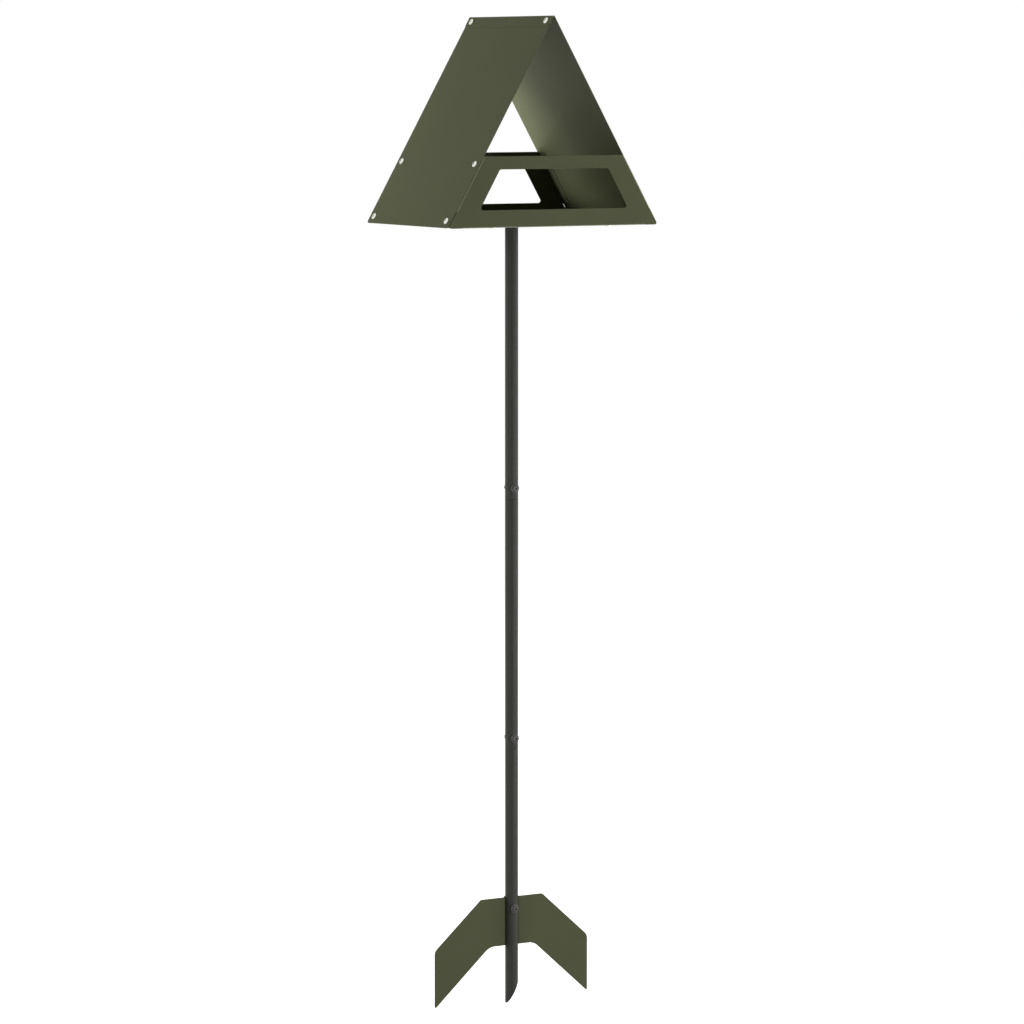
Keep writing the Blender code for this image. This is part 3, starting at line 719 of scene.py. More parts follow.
class TurnedRecipe(NodeRecipe):
    """Turns a profile, drawn as points of (radius, 0, height), about Z."""

    title = "turned piece"
    inputs = (("Steps", "NodeSocketInt", 64),)

    def shape(self) -> Wire:
        """Grid with a row for each profile point and a column for each step, rolled up.

        Returns:
            The turned surface.
        """
        graph = self.graph
        profile = self.given("Geometry")
        steps = self.given("Steps")
        values = {"Geometry": profile}
        points = graph.wire("GeometryNodeAttributeDomainSize", {"component": "MESH"}, values)
        grid, row, column = self.grid(points, steps + 1)
        settings = {"data_type": "FLOAT_VECTOR", "domain": "POINT"}
        values = {"Geometry": profile, "Value": graph.wire("GeometryNodeInputPosition"), "Index": row}
        point = graph.wire("GeometryNodeSampleIndex", settings, values)
        values = {"Vector": point, "Angle": column * math.tau / steps}
        place = graph.wire("ShaderNodeVectorRotate", {"rotation_type": "Z_AXIS"}, values)
        return self.rolled(grid, place)

    def revolve(self, name: str, points: Sequence[Point2], steps: int) -> bpy.types.Object:
        """Turn a profile about Z.

        Args:
            name: Name of the object.
            points: (radius, height) of each point of the profile.
            steps: Steps of a full turn.

        Returns:
            The turned object, its faces outward.
        """
        mesh = bpy.data.meshes.new(name)
        mesh.from_pydata([(radius, 0.0, z) for radius, z in points], [], [])
        obj = self.carried_out(Workshop.link(name, mesh), Steps=steps)
        Workshop.face_outward(obj.data)
        return obj


class BeadRecipe(NodeRecipe):
    """Weld bead round a tube: a ring whose thickness ripples in scales."""

    title = "weld bead"
    inputs = (
        ("Ring Radius", "NodeSocketFloat", 11.0 * MM),
        ("Bead Radius", "NodeSocketFloat", 1.5 * MM),
        ("Height", "NodeSocketFloat", 0.0),
        ("Ripples", "NodeSocketInt", 34),
        ("Ripple Depth", "NodeSocketFloat", 0.22),
        ("Lean", "NodeSocketFloat", 0.9),
    )
    around = 12
    along = 272

    def shape(self) -> Wire:
        """Closed ring from a grid, with its thickness from a wave that leans with the scales.

        Returns:
            The bead's surface.
        """
        grid, row, column = self.grid(self.around + 1, self.along + 1)
        section = row * (math.tau / self.around)
        turn = column * (math.tau / self.along)
        upward = section.applied("SINE")
        phase = turn * self.given("Ripples") + upward * self.given("Lean")
        wave = phase.applied("COSINE").applied("ABSOLUTE")
        thickness = self.given("Bead Radius") * (1.0 - self.given("Ripple Depth") * wave)
        radius = self.given("Ring Radius") + thickness * section.applied("COSINE")
        return self.rolled(grid, self.polar(radius, turn, self.given("Height") + thickness * upward))


class ThreadRecipe(NodeRecipe):
    """Threaded rod from its root at Z 0 down to its end, with a chamfered end."""

    title = "threaded rod"
    inputs = (
        ("Radius", "NodeSocketFloat", 2.5 * MM),
        ("Length", "NodeSocketFloat", 8.0 * MM),
        ("Pitch", "NodeSocketFloat", 0.8 * MM),
        ("Depth", "NodeSocketFloat", 0.45 * MM),
        ("Rows", "NodeSocketInt", 60),
    )
    around = 20
    end_share = 0.72
    chamfer_slope = 0.5

    def shape(self) -> Wire:
        """Grid rolled into a rod, with its radius from a ridge that climbs as it turns.

        Returns:
            The rod's surface.
        """
        rows = self.given("Rows")
        pitch = self.given("Pitch")
        length = self.given("Length")
        grid, row, column = self.grid(rows + 3, self.around + 1)
        turns = column / self.around
        depth = length * ((row - 1.0) / rows).clipped()
        phase = (depth / pitch + turns).applied("FRACT")
        ridge = (phase * 2.0 - 1.0).applied("ABSOLUTE")
        chamfer = (((length - depth) / pitch) * self.chamfer_slope + self.end_share).clipped()
        wall = (self.given("Radius") - self.given("Depth") * ridge) * chamfer
        # The first and the last row have no radius, which closes both ends on the axis.
        is_wall = row.applied("GREATER_THAN", 0.5) * (rows + 1.5 - row).applied("GREATER_THAN", 0.0)
        return self.rolled(grid, self.polar(wall * is_wall, turns * math.tau, depth * -1.0))


class FastenerRecipe(NodeRecipe):
    """Puts one fastener on every point, turned to the point's aim and spun by chance about it."""

    title = "placed fasteners"
    inputs = (
        ("Fastener", "NodeSocketObject", None),
        ("Spin", "NodeSocketFloat", math.pi),
        ("Seed", "NodeSocketInt", 7),
    )

    def shape(self) -> Wire:
        """Instances on the points.

        Returns:
            The placed fasteners.
        """
        graph = self.graph
        aim = graph.wire("GeometryNodeInputNamedAttribute", {"data_type": "FLOAT_VECTOR"}, {"Name": "aim"})
        aimed = graph.wire("FunctionNodeAlignRotationToVector", {"axis": "Z"}, {"Vector": aim})
        spread = self.given("Spin")
        values = {2: spread * -1.0, 3: spread, "Seed": self.given("Seed")}
        chance = graph.wire("FunctionNodeRandomValue", {"data_type": "FLOAT"}, values, output=1)
        values = {"Axis": tuple(Z_AXIS), "Angle": chance}
        spin = graph.wire("FunctionNodeAxisAngleToRotation", values=values)
        values = {"Rotation": aimed, "Rotate By": spin}
        rotation = graph.wire("FunctionNodeRotateRotation", {"rotation_space": "LOCAL"}, values)
        values = {"Object": self.given("Fastener")}
        fastener = graph.wire("GeometryNodeObjectInfo", values=values, output="Geometry")
        values = {"Points": self.given("Geometry"), "Instance": fastener, "Rotation": rotation}
        return graph.wire("GeometryNodeInstanceOnPoints", values=values)


@dataclass
class SheetMetal:
    """A flat blank that is folded, the way the real sheet is. Its outer face is at Z 0 before that."""

    outline: list[Point2]
    holes: list[list[Point2]]
    thickness: float
    bend_steps: int = 10
    is_sheltered: bool = False
    shape: bmesh.types.BMesh = field(init=False)
    bent: bmesh.types.BMLayerItem = field(init=False)

    def __post_init__(self) -> None:
        """Fill the outline between its holes, and mark the inner face if it is sheltered."""
        curve = bpy.data.curves.new("blank", "CURVE")
        curve.dimensions = "2D"
        curve.fill_mode = "BOTH"
        curve.extrude = self.thickness / 2
        for loop in [self.outline, *self.holes]:
            spline = curve.splines.new("POLY")
            spline.points.add(len(loop) - 1)
            spline.use_cyclic_u = True
            for point, (x, y) in zip(spline.points, loop):
                point.co = (x, y, 0.0, 1.0)
        guide = Workshop.link("blank", curve)
        mesh = Workshop.evaluated(guide)
        Workshop.discard(guide)
        self.shape = bmesh.new()
        self.shape.from_mesh(mesh)
        verts = self.shape.verts
        bmesh.ops.remove_doubles(self.shape, verts=verts, dist=WELD_DISTANCE)
        bmesh.ops.translate(self.shape, verts=verts, vec=(0.0, 0.0, self.thickness / 2))
        bmesh.ops.dissolve_limit(self.shape, angle_limit=FLAT_ANGLE, verts=verts, edges=self.shape.edges)
        sheltered = verts.layers.float.new(SHELTERED)
        for vert in verts:
            vert[sheltered] = float(self.is_sheltered and vert.co.z > self.thickness / 2)
        self.bent = verts.layers.float.new(BENT)

    @staticmethod
    def setback(angle: float, radius: float, thickness: float) -> float:
        """Distance from the mould line of a fold back to the start of its bend."""
        return (radius + thickness) * math.tan(angle / 2)

    @classmethod
    def developed(cls, length: float, angle: float, radius: float, thickness: float) -> float:
        """Distance in a blank, from the mould line, of what lies this far up a flange."""
        return length + (radius + thickness / 2) * angle - 2 * cls.setback(angle, radius, thickness)

    def slit(self, point: Vector, normal: Vector) -> None:
        """Split the faces along a plane, and keep both sides."""
        parts = [*self.shape.verts, *self.shape.edges, *self.shape.faces]
        bmesh.ops.bisect_plane(self.shape, geom=parts, dist=SLIT_TOLERANCE, plane_co=point, plane_no=normal)

    def fold(
        self,
        foot: Point2,
        outward: Point2,
        angle: float,
        radius: float,
        span: Optional[Point2] = None,
    ) -> None:
        """Fold what lies beyond a mould line up towards +Z, and mark the bend.

        Args:
            foot: A point of the line.
            outward: Direction square to the line, towards the flange.
            angle: Angle of the fold.
            radius: Inside radius of the bend.
            span: Keeps the fold to what lies between two distances along the line.
        """
        base = Vector((*foot, 0.0))
        across = Vector((*outward, 0.0)).normalized()
        along = Vector((-across.y, across.x, 0.0))
        neutral = radius + self.thickness / 2
        start = -self.setback(angle, radius, self.thickness)
        for step in range(self.bend_steps + 1):
            self.slit(base + across * (start + neutral * angle * step / self.bend_steps), across)
        for vert in self.shape.verts:
            offset = vert.co - base
            reach = offset.dot(across) - start
            place = offset.dot(along)
            if reach <= LEAST_REACH or (span and not span[0] < place < span[1]):
                continue
            turn = min(reach / neutral, angle)
            past = max(reach - neutral * angle, 0.0)
            arm = radius + self.thickness - vert.co.z
            distance = start + arm * math.sin(turn) + past * math.cos(turn)
            height = radius + self.thickness - arm * math.cos(turn) + past * math.sin(turn)
            vert.co = base + along * place + across * distance + Vector((0.0, 0.0, height))
            if 0.0 < round(turn / angle, 2) < 1.0:
                vert[self.bent] = 1.0

    def piece(self, name: str, place: Matrix, ease: float) -> bpy.types.Object:
        """Finished piece, with its place in its mesh.

        Args:
            name: Name of the piece.
            place: Where the blank's frame lies.
            ease: Width by which its hard edges are rounded.

        Returns:
            The piece.
        """
        mesh = Workshop.mesh_of(self.shape, name, place)
        Workshop.face_outward(mesh)
        return Workshop.ease_edges(Workshop.link(name, mesh), ease)


def axes_frame(origin: Vector, x_axis: Vector, z_axis: Vector) -> Matrix:
    """Matrix of a frame.

    Args:
        origin: Its origin.
        x_axis: Its local X.
        z_axis: Its local Z.

    Returns:
        The matrix.
    """
    x_axis = x_axis.normalized()
    z_axis = z_axis.normalized()
    matrix = Matrix((x_axis, z_axis.cross(x_axis), z_axis)).transposed().to_4x4()
    matrix.translation = origin
    return matrix


def node_span(node: str, direction: Vector) -> tuple[float, float]:
    """Least and greatest reach of a CAD node along a direction."""
    reaches = [vertex.co.dot(direction) for vertex in bpy.data.objects[node].data.vertices]
    return min(reaches), max(reaches)


def cad_nodes(prefix: str) -> list[str]:
    """Names of the CAD nodes that start with a prefix, in order."""
    return sorted(obj.name for obj in bpy.data.objects if obj.get("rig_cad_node", "").startswith(prefix))


def bolt_drill(bolt: str, radius: float, start: float, end: float) -> tuple[bpy.types.Mesh, Matrix]:
    """Drill for the hole of a bolt that runs through the pole along Y.

    Args:
        bolt: The bolt's CAD node.
        radius: Radius of the hole.
        start: Where the drill starts, from the pole's axis.
        end: Where it ends.

    Returns:
        The drill's mesh and its place.
    """
    low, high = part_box(bolt)
    centre = Vector((0.0, 0.0, (low.z + high.z) / 2))
    return Workshop.prism(radius, start, end), axes_frame(centre, X_AXIS, Y_AXIS)


@dataclass
class House:
    """The A-frame house: two roof sheets, two window panels and a seed tray."""

    palette: Palette
    sheet: float = 0.8 * MM
    bend_radius: float = 0.5 * MM
    roof_angle: float = math.radians(60.0)
    roof_corner: float = 5.0 * MM
    eaves_trim: float = 1.1 * MM
    ridge_lap: float = 20.3 * MM
    ridge_screw_drop: float = 10.4 * MM
    roof_screw_inset: float = 15.1 * MM
    eaves_screw_rise: float = 13.0 * MM
    panel_height: float = 111.3 * MM
    panel_proud: float = 1.5 * MM
    panel_flange: float = 24.0 * MM
    panel_flange_gap: float = 4.0 * MM
    panel_screw_drop: float = 12.5 * MM
    foot_flange: float = 22.0 * MM
    foot_margin: float = 24.0 * MM
    side_band: float = 34.0 * MM
    foot_band: float = 27.4 * MM
    head_band: float = 20.5 * MM
    window_radius: float = 4.0 * MM
    relief: float = 0.6 * MM
    flange_corner: float = 5.0 * MM
    tip_radius: float = 3.0 * MM
    tray_flange: float = 24.0 * MM
    floor_screw_spacing: float = 210.0 * MM
    floor_screw_inset: float = 10.0 * MM
    cap_screw_spacing: float = 44.0 * MM
    hole_radius: float = 2.8 * MM
    corner_steps: int = 8
    edge_ease: float = 0.25 * MM

    def __post_init__(self) -> None:
        """Take the overall sizes from the frame, and work out the rest."""
        low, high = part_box("roof_right")
        self.sine = math.sin(self.roof_angle)
        self.cosine = math.cos(self.roof_angle)
        self.width = 2 * (high.x + self.eaves_trim * self.cosine)
        self.depth = 2 * high.y
        self.base = low.z + self.sheet * self.cosine - self.eaves_trim * self.sine
        self.lap = self.sheet + FIT_GAP
        self.rise = self.width / 2 * math.tan(self.roof_angle)
        self.slope = self.width / 2 / self.cosine
        self.ridge_angle = math.pi - 2 * self.roof_angle
        self.ridge = Vector((0.0, 0.0, self.base + self.rise))
        self.face = self.depth / 2 + self.panel_proud
        self.crest_rise = self.lap / math.sin(self.ridge_angle)
        self.crest_shift = self.lap / math.tan(self.ridge_angle)
        self.flange_start = self.lap + self.tray_flange * self.sine + self.panel_flange_gap
        self.eaves_row = self.slope - self.eaves_screw_rise
        self.panel_row = self.distance_at(self.panel_height - self.panel_screw_drop)
        self.screw_place = self.depth / 2 - self.roof_screw_inset
        self.floor_place = self.depth / 2 - self.floor_screw_inset

    def distance_at(self, height: float, sunk: float = 0.0) -> float:
        """Distance down the slope of a height above the base, on a face sunk below the outer one."""
        return (self.rise - height - sunk * self.cosine) / self.sine

    def down(self, side: Side) -> Vector:
        """Direction down one side of the roof."""
        return Vector((side.value * self.cosine, 0.0, -self.sine))

    def inward(self, side: Side) -> Vector:
        """Direction through one side of the roof into the house."""
        return Vector((-side.value * self.sine, 0.0, -self.cosine))

    def _hole(self, x: float, y: float) -> list[Point2]:
        """Screw hole in a blank."""
        return Outline.circle((x, y), self.hole_radius)

    def _developed(self, length: float, angle: float) -> float:
        """Distance in a blank, from the mould line, of what lies this far up a flange."""
        return SheetMetal.developed(length, angle, self.bend_radius, self.sheet)

    def roof(self, side: Side, name: str, node: str) -> None:
        """Build a roof sheet. The right one laps over the ridge on to the left one.

        Args:
            side: The sheet's side.
            name: Name of the piece.
            node: The CAD node that it stands for.
        """
        fold_angle = math.pi - self.ridge_angle
        rows = [self.panel_row, self.eaves_row]
        if side is Side.LOW:
            setback = SheetMetal.setback(fold_angle, self.bend_radius, self.sheet)
            top = setback - self.crest_shift + self.sheet
            rows.append(self.ridge_screw_drop)
        else:
            top = -self.crest_rise - self._developed(self.ridge_lap + self.crest_shift, fold_angle)
            row = self._developed(self.ridge_screw_drop + self.crest_shift, fold_angle)
            rows.append(-self.crest_rise - row)
        low = (top, -self.depth / 2)
        high = (self.slope - self.eaves_trim, self.depth / 2)
        outline = Outline.rectangle(low, high, self.roof_corner, self.corner_steps)
        holes = [self._hole(row, end * self.screw_place) for row in rows for end in (-1, 1)]
        sheet = SheetMetal(outline, holes, self.sheet, is_sheltered=True)
        if side is Side.HIGH:
            sheet.fold((-self.crest_rise, 0.0), (-1.0, 0.0), fold_angle, self.bend_radius)
        place = axes_frame(self.ridge, self.down(side), self.inward(side))
        Workshop.deliver(sheet.piece(name, place, self.edge_ease), self.palette, Slot.OLIVE, [node])

    def _panel_edge(self, height: float, out: float = 0.0) -> Point2:
        """Point beside a panel's right-hand mould line.

        Args:
            height: Height of a point of that line above the base.
            out: Distance from there, square to the line.

        Returns:
            The point, as (x, height above the base).
        """
        down = Vector((self.cosine, -self.sine))
        inward = Vector((-self.sine, -self.cosine))
        distance = self.distance_at(height, self.lap)
        return tuple(Vector((0.0, self.rise)) + down * distance + inward * (self.lap - out))

    def _panel_outline(self) -> list[Point2]:
        """Outline of a panel's blank, with its flanges laid flat and slits at their bends.

        Returns:
            Points of (x, height above the base).
        """
        edge = self._panel_edge
        side_reach = self._developed(self.panel_flange, SQUARE)
        # Each slit runs a quarter of its width past the start of the bend.
        notch = SheetMetal.setback(SQUARE, self.bend_radius, self.sheet) + self.relief / 4
        foot_half = edge(0.0)[0] - self.foot_margin
        start = self.flange_start
        notch_foot = start - self.relief * self.sine
        half = [
            (foot_half, -self._developed(self.foot_flange, SQUARE), self.flange_corner),
            (foot_half, notch, 0.0),
            (foot_half + self.relief, notch, 0.0),
            (foot_half + self.relief, 0.0, 0.0),
            (*edge(0.0), self.tip_radius),
            (*edge(notch_foot), 0.0),
            (*edge(notch_foot, -notch), 0.0),
            (*edge(start, -notch), 0.0),
            (*edge(start, side_reach), self.flange_corner),
            (*edge(self.panel_height, side_reach), self.flange_corner),
            (*edge(self.panel_height), 0.0),
        ]
        other_half = [(-x, y, radius) for x, y, radius in reversed(half)]
        return Outline.rounded([*half, *other_half], self.corner_steps)

    def _window(self) -> list[Point2]:
        """Outline of a panel's window.

        Returns:
            Points of (x, height above the base).
        """
        band = self.side_band / self.sine
        foot_x, foot_y = self._panel_edge(self.foot_band)
        head_x, head_y = self._panel_edge(self.panel_height - self.head_band)
        foot_half, head_half = foot_x - band, head_x - band
        ends = [(-foot_half, foot_y), (foot_half, foot_y), (head_half, head_y), (-head_half, head_y)]
        return Outline.rounded([(x, y, self.window_radius) for x, y in ends], self.corner_steps)

    def _panel_holes(self) -> list[list[Point2]]:
        """Window and screw holes of a panel's blank.

        Returns:
            Outlines of (x, height above the base).
        """
        side_row = self._developed(self.roof_screw_inset + self.panel_proud, SQUARE)
        foot_row = self._developed(self.floor_screw_inset + self.panel_proud, SQUARE)
        # The roof's screws meet the flange one lap below the roof's outer face.
        height = self.panel_height - self.panel_screw_drop - self.lap * self.cosine
        hole_x, hole_y = self._panel_edge(height, side_row)
        holes = [self._window()]
        for end in (-1, 1):
            holes.append(self._hole(end * hole_x, hole_y))
            holes.append(self._hole(end * self.floor_screw_spacing / 2, -foot_row))
        return holes

    def panel(self, side: Side, name: str, node: str) -> None:
        """Build the front or the rear window panel, with two side flanges and a foot flange.

        Args:
            side: The side that it faces.
            name: Name of the piece.
            node: The CAD node that it stands for.
        """
        sheet = SheetMetal(self._panel_outline(), self._panel_holes(), self.sheet)
        foot_x = self._panel_edge(0.0)[0]
        middle = self.flange_start - self.relief * self.sine / 2
        start = (Vector(self._panel_edge(middle)) - Vector(self._panel_edge(0.0))).length
        for end in (-1, 1):
            span = (start, self.slope) if end > 0 else (-self.slope, -start)
            outward = (end * self.sine, self.cosine)
            sheet.fold((end * foot_x, 0.0), outward, SQUARE, self.bend_radius, span)
        foot_half = foot_x - self.foot_margin + self.relief / 2
        sheet.fold((0.0, 0.0), (0.0, -1.0), SQUARE, self.bend_radius, (-foot_half, foot_half))
        facing = float(side.value)
        origin = Vector((0.0, facing * self.face, self.base))
        place = axes_frame(origin, X_AXIS * facing, Y_AXIS * -facing)
        Workshop.deliver(sheet.piece(name, place, self.edge_ease), self.palette, Slot.OLIVE, [node])

    def tray(self) -> None:
        """Build the seed tray, with a flange folded up against each roof sheet."""
        fold_angle = math.pi - self.roof_angle
        edge_distance = self.distance_at(self.lap, self.lap)
        mould = edge_distance * self.cosine - self.lap * self.sine
        reach = mould + self._developed(self.tray_flange, fold_angle)
        row = mould + self._developed(edge_distance - self.eaves_row, fold_angle)
        half_depth = self.face - self.sheet - self.bend_radius - FIT_GAP
        cap = self.cap_screw_spacing / 2
        spots = [
            (row, self.screw_place),
            (self.floor_screw_spacing / 2, self.floor_place),
            (cap, cap),
        ]
        low, high = (-reach, -half_depth), (reach, half_depth)
        outline = Outline.rectangle(low, high, self.flange_corner, self.corner_steps)
        holes = [
            self._hole(x_side * x, y_side * y) for x_side in (-1, 1) for y_side in (-1, 1) for x, y in spots
        ]
        sheet = SheetMetal(outline, holes, self.sheet)
        for end in (-1, 1):
            sheet.fold((end * mould, 0.0), (end, 0.0), fold_angle, self.bend_radius)
        place = Matrix.Translation((0.0, 0.0, self.base + self.lap))
        piece = sheet.piece("feeding_tray", place, self.edge_ease)
        Workshop.deliver(piece, self.palette, Slot.OLIVE, ["seed_tray"])

    def build(self) -> None:
        """Build the five folded sheets."""
        self.roof(Side.LOW, "left_roof_sheet", "roof_left")
        self.panel(Side.LOW, "front_window_panel", "front_panel")
        self.roof(Side.HIGH, "right_roof_sheet", "roof_right")
        self.panel(Side.HIGH, "rear_window_panel", "rear_panel")
        self.tray()


@dataclass
class Pole:
    """Three tubes, necked where they join, and the plate that carries the house."""

    palette: Palette
    turned: TurnedRecipe
    bead: BeadRecipe
    wall: float = 1.2 * MM
    overlap: float = 36.0 * MM
    neck_taper: float = 0.2 * MM
    bolt_hole: float = 3.3 * MM
    cut_angle: float = math.radians(61.0)
    edge_radius: float = 0.12 * MM
    edge_steps: int = 3
    steps: int = 96
    plate_corner: float = 8.0 * MM
    plate_corner_steps: int = 10
    plate_screw_spacing: float = 44.0 * MM
    plate_hole: float = 2.8 * MM
    plate_ease: float = 0.3 * MM
    bead_radius: float = 1.5 * MM
    bead_smoothing: float = 60.0

    def __post_init__(self) -> None:
        """Take the tubes' radius from the frame."""
        self.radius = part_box("stake")[1].x
        self.neck = self.radius - self.wall - FIT_GAP

    def _ring(self, name: str, corners: Sequence[Corner]) -> bpy.types.Object:
        """Turn a closed section whose corners are rounded."""
        section = Outline.rounded(corners, self.edge_steps)
        return self.turned.revolve(name, [*section, section[0]], self.steps)

    def _section(self, foot: float, top: float, is_necked: bool) -> list[Corner]:
        """Section of a tube's wall.

        Args:
            foot: Height of its lower end.
            top: Height of its upper end.
            is_necked: Whether its top is reduced to fit in the next tube.

        Returns:
            Corners of (radius, height, rounding).
        """
        ease = self.edge_radius
        inside = self.radius - self.wall
        lower = [(self.radius, foot, ease), (inside, foot, ease)]
        if not is_necked:
            return [(inside, top, ease), (self.radius, top, ease), *lower]
        shoulder = top - self.overlap - FIT_GAP
        taper_foot = shoulder - self.neck_taper
        bore = self.neck - self.wall
        half_wall = self.wall / 2
        return [
            (bore, top, ease),
            (self.neck, top, ease),
            (self.neck, shoulder, 0.0),
            (self.radius, taper_foot, ease),
            *lower,
            (inside, taper_foot - half_wall, 0.0),
            (bore, shoulder - half_wall, 0.0),
        ]

    def tube(self, name: str, node: str, is_necked: bool, bolts: Sequence[str]) -> bpy.types.Object:
        """Build a tube with its bolt holes.

        Args:
            name: Name of the piece.
            node: The CAD node that it stands for.
            is_necked: Whether its top is reduced to fit in the next tube.
            bolts: The bolts that go through it.

        Returns:
            The tube, not yet delivered.
        """
        low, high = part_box(node)
        tube = self._ring(name, self._section(low.z, high.z, is_necked))
        reach = 2 * self.radius
        return Workshop.cut(tube, [bolt_drill(bolt, self.bolt_hole, -reach, reach) for bolt in bolts])

    def cut_point(self, stake: bpy.types.Object) -> None:
        """Cut the stake's slanted point.

        Args:
            stake: The stake.
        """
        side = 8 * self.radius
        block = Workshop.block((side, side, side), (0.0, 0.0, -side / 2))
        turn = Matrix.Rotation(-self.cut_angle, 4, "Y")
        Workshop.cut(stake, [(block, Matrix.Translation((-self.radius, 0.0, 0.0)) @ turn)])

    def build_tubes(self) -> None:
        """Build the three tubes."""
        upper, lower, ground = "bolt_upper_joint", "bolt_lower_joint", "bolt_ground_plate"
        for name, node, is_necked, bolts in (
            ("upper_tube_piece", "upper_tube", False, [upper]),
            ("middle_tube_piece", "middle_tube", True, [upper, lower]),
            ("ground_stake_piece", "stake", True, [lower, ground]),
        ):
            tube = self.tube(name, node, is_necked, bolts)
            if node == "stake":
                self.cut_point(tube)
            Workshop.smooth(tube.data)
            Workshop.deliver(tube, self.palette, Slot.DARK, [node])

    def build_cap(self) -> None:
        """Build the plate under the tray, with its spigot."""
        low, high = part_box("cap_plate")
        half = high.x
        outline = Outline.rectangle((-half, -half), (half, half), self.plate_corner, self.plate_corner_steps)
        place = self.plate_screw_spacing / 2
        holes = [Outline.circle((x * place, y * place), self.plate_hole) for x in (-1, 1) for y in (-1, 1)]
        plate = SheetMetal(outline, holes, high.z - self.underside)
        lift = Matrix.Translation((0.0, 0.0, self.underside))
        piece = plate.piece("cap_plate_piece", lift, self.plate_ease)
        middle = (self.underside + high.z) / 2
        inside = self.neck - self.wall
        ease = self.edge_radius
        section = [
            (inside, middle, 0.0),
            (self.neck, middle, 0.0),
            (self.neck, low.z, ease),
            (inside, low.z, ease),
        ]
        spigot = self._ring("spigot", section)
        Workshop.cut(piece, [(spigot.data, Matrix())], "UNION")
        Workshop.discard(spigot)
        Workshop.smooth(piece.data)
        Workshop.deliver(piece, self.palette, Slot.DARK, ["cap_plate"])

    @property
    def underside(self) -> float:
        """Height of the cap plate's lower face."""
        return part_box("upper_tube")[1].z + PACKED_GAP

    def build_bead(self) -> None:
        """Build the weld bead between the cap plate and the upper tube."""
        seam = Workshop.link("weld_bead", bpy.data.meshes.new("weld_bead"))
        ring = self.radius + self.bead_radius / 2
        height = self.underside - self.bead_radius / 2
        self.bead.carried_out(seam, Ring_Radius=ring, Bead_Radius=self.bead_radius, Height=height)
        Workshop.face_outward(seam.data)
        Workshop.smooth(seam.data, self.bead_smoothing)
        Workshop.deliver(seam, self.palette, Slot.DARK, [])

    def build(self) -> None:
        """Build the tubes, the cap plate and its weld bead."""
        self.build_tubes()
        self.build_cap()
        self.build_bead()


@dataclass
class GroundPlate:
    """Plate with two flat wings and a half-round channel pressed round the back of the stake."""

    palette: Palette
    bend_radius: float = 2.0 * MM
    top_width: float = 114.2 * MM
    shoulder_drop: float = 77.0 * MM
    tip_drop: float = 171.2 * MM
    crotch_drop: float = 79.4 * MM
    crotch_width: float = 83.0 * MM
    shoulder_radius: float = 14.0 * MM
    top_radius: float = 6.0 * MM
    crotch_radius: float = 25.0 * MM
    tip_radius: float = 1.5 * MM
    bolt_hole: float = 3.3 * MM
    slits: int = 44
    corner_steps: int = 14
    edge_ease: float = 0.3 * MM

    def __post_init__(self) -> None:
        """Take the overall sizes from the frame, and work out the channel's section."""
        low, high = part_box("ground_plate")
        self.top = high.z
        self.half_span = high.x
        self.thickness = -2 * low.y
        self.neutral = self.thickness / 2
        self.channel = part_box("stake")[1].x + PACKED_GAP + self.neutral
        self.flare = self.bend_radius + self.neutral
        self.flare_x = math.sqrt((self.channel + self.flare) ** 2 - self.flare**2)
        wrap = math.pi / 2 - math.asin(self.flare / (self.channel + self.flare))
        self.wrap_length = self.channel * wrap
        self.reach = self.wrap_length + self.flare * wrap
        self.stretch = self.reach - self.flare_x

    def formed(self, x: float, y: float, z: float) -> Vector:
        """Where a point of the flat blank lies on the pressed plate.

        Args:
            x: Its distance from the plate's middle.
            y: Its height.
            z: Its distance above the blank's outer face.

        Returns:
            Its place.
        """
        side = 1.0 if x >= 0.0 else -1.0
        run = abs(x)
        lift = z - self.neutral
        if run <= self.wrap_length:
            turn = run / self.channel
            arm = self.channel + lift
            place = (arm * math.sin(turn), arm * math.cos(turn))
        elif run <= self.reach:
            turn = (self.reach - run) / self.flare
            arm = self.flare - lift
            place = (self.flare_x - arm * math.sin(turn), self.flare - arm * math.cos(turn))
        else:
            place = (run - self.stretch, lift)
        return Vector((side * place[0], place[1], y))

    def _outline(self) -> list[Point2]:
        """Outline of the blank, with the channel pressed flat.

        Returns:
            Points of (x, height).
        """
        half = [
            (self.crotch_width / 2 + self.stretch, self.top - self.crotch_drop, self.crotch_radius),
            (self.half_span + self.stretch, self.top - self.tip_drop, self.tip_radius),
            (self.half_span + self.stretch, self.top - self.shoulder_drop, self.shoulder_radius),
            (self.top_width / 2 + self.stretch, self.top, self.top_radius),
        ]
        other_half = [(-x, z, radius) for x, z, radius in reversed(half)]
        return Outline.rounded([*half, *other_half], self.corner_steps)

    def build(self) -> None:
        """Build the plate."""
        sheet = SheetMetal(self._outline(), [], self.thickness)
        places = [self.reach * (2 * step / self.slits - 1) for step in range(self.slits + 1)]
        for place in [*places, -self.wrap_length, self.wrap_length]:
            sheet.slit(X_AXIS * place, X_AXIS)
        for vert in sheet.shape.verts:
            vert.co = self.formed(*vert.co)
        piece = sheet.piece("ground_plate_piece", Matrix(), self.edge_ease)
        Workshop.cut(piece, [bolt_drill("bolt_ground_plate", self.bolt_hole, 0.0, 2 * self.channel)])
        Workshop.deliver(piece, self.palette, Slot.OLIVE, ["ground_plate"])


@dataclass(frozen=True)
class Thread:
    """Sizes of a thread."""

    radius: float
    pitch: float
    depth_share: float = 0.45
    rows_per_turn: int = 5
    root: float = 0.3 * MM


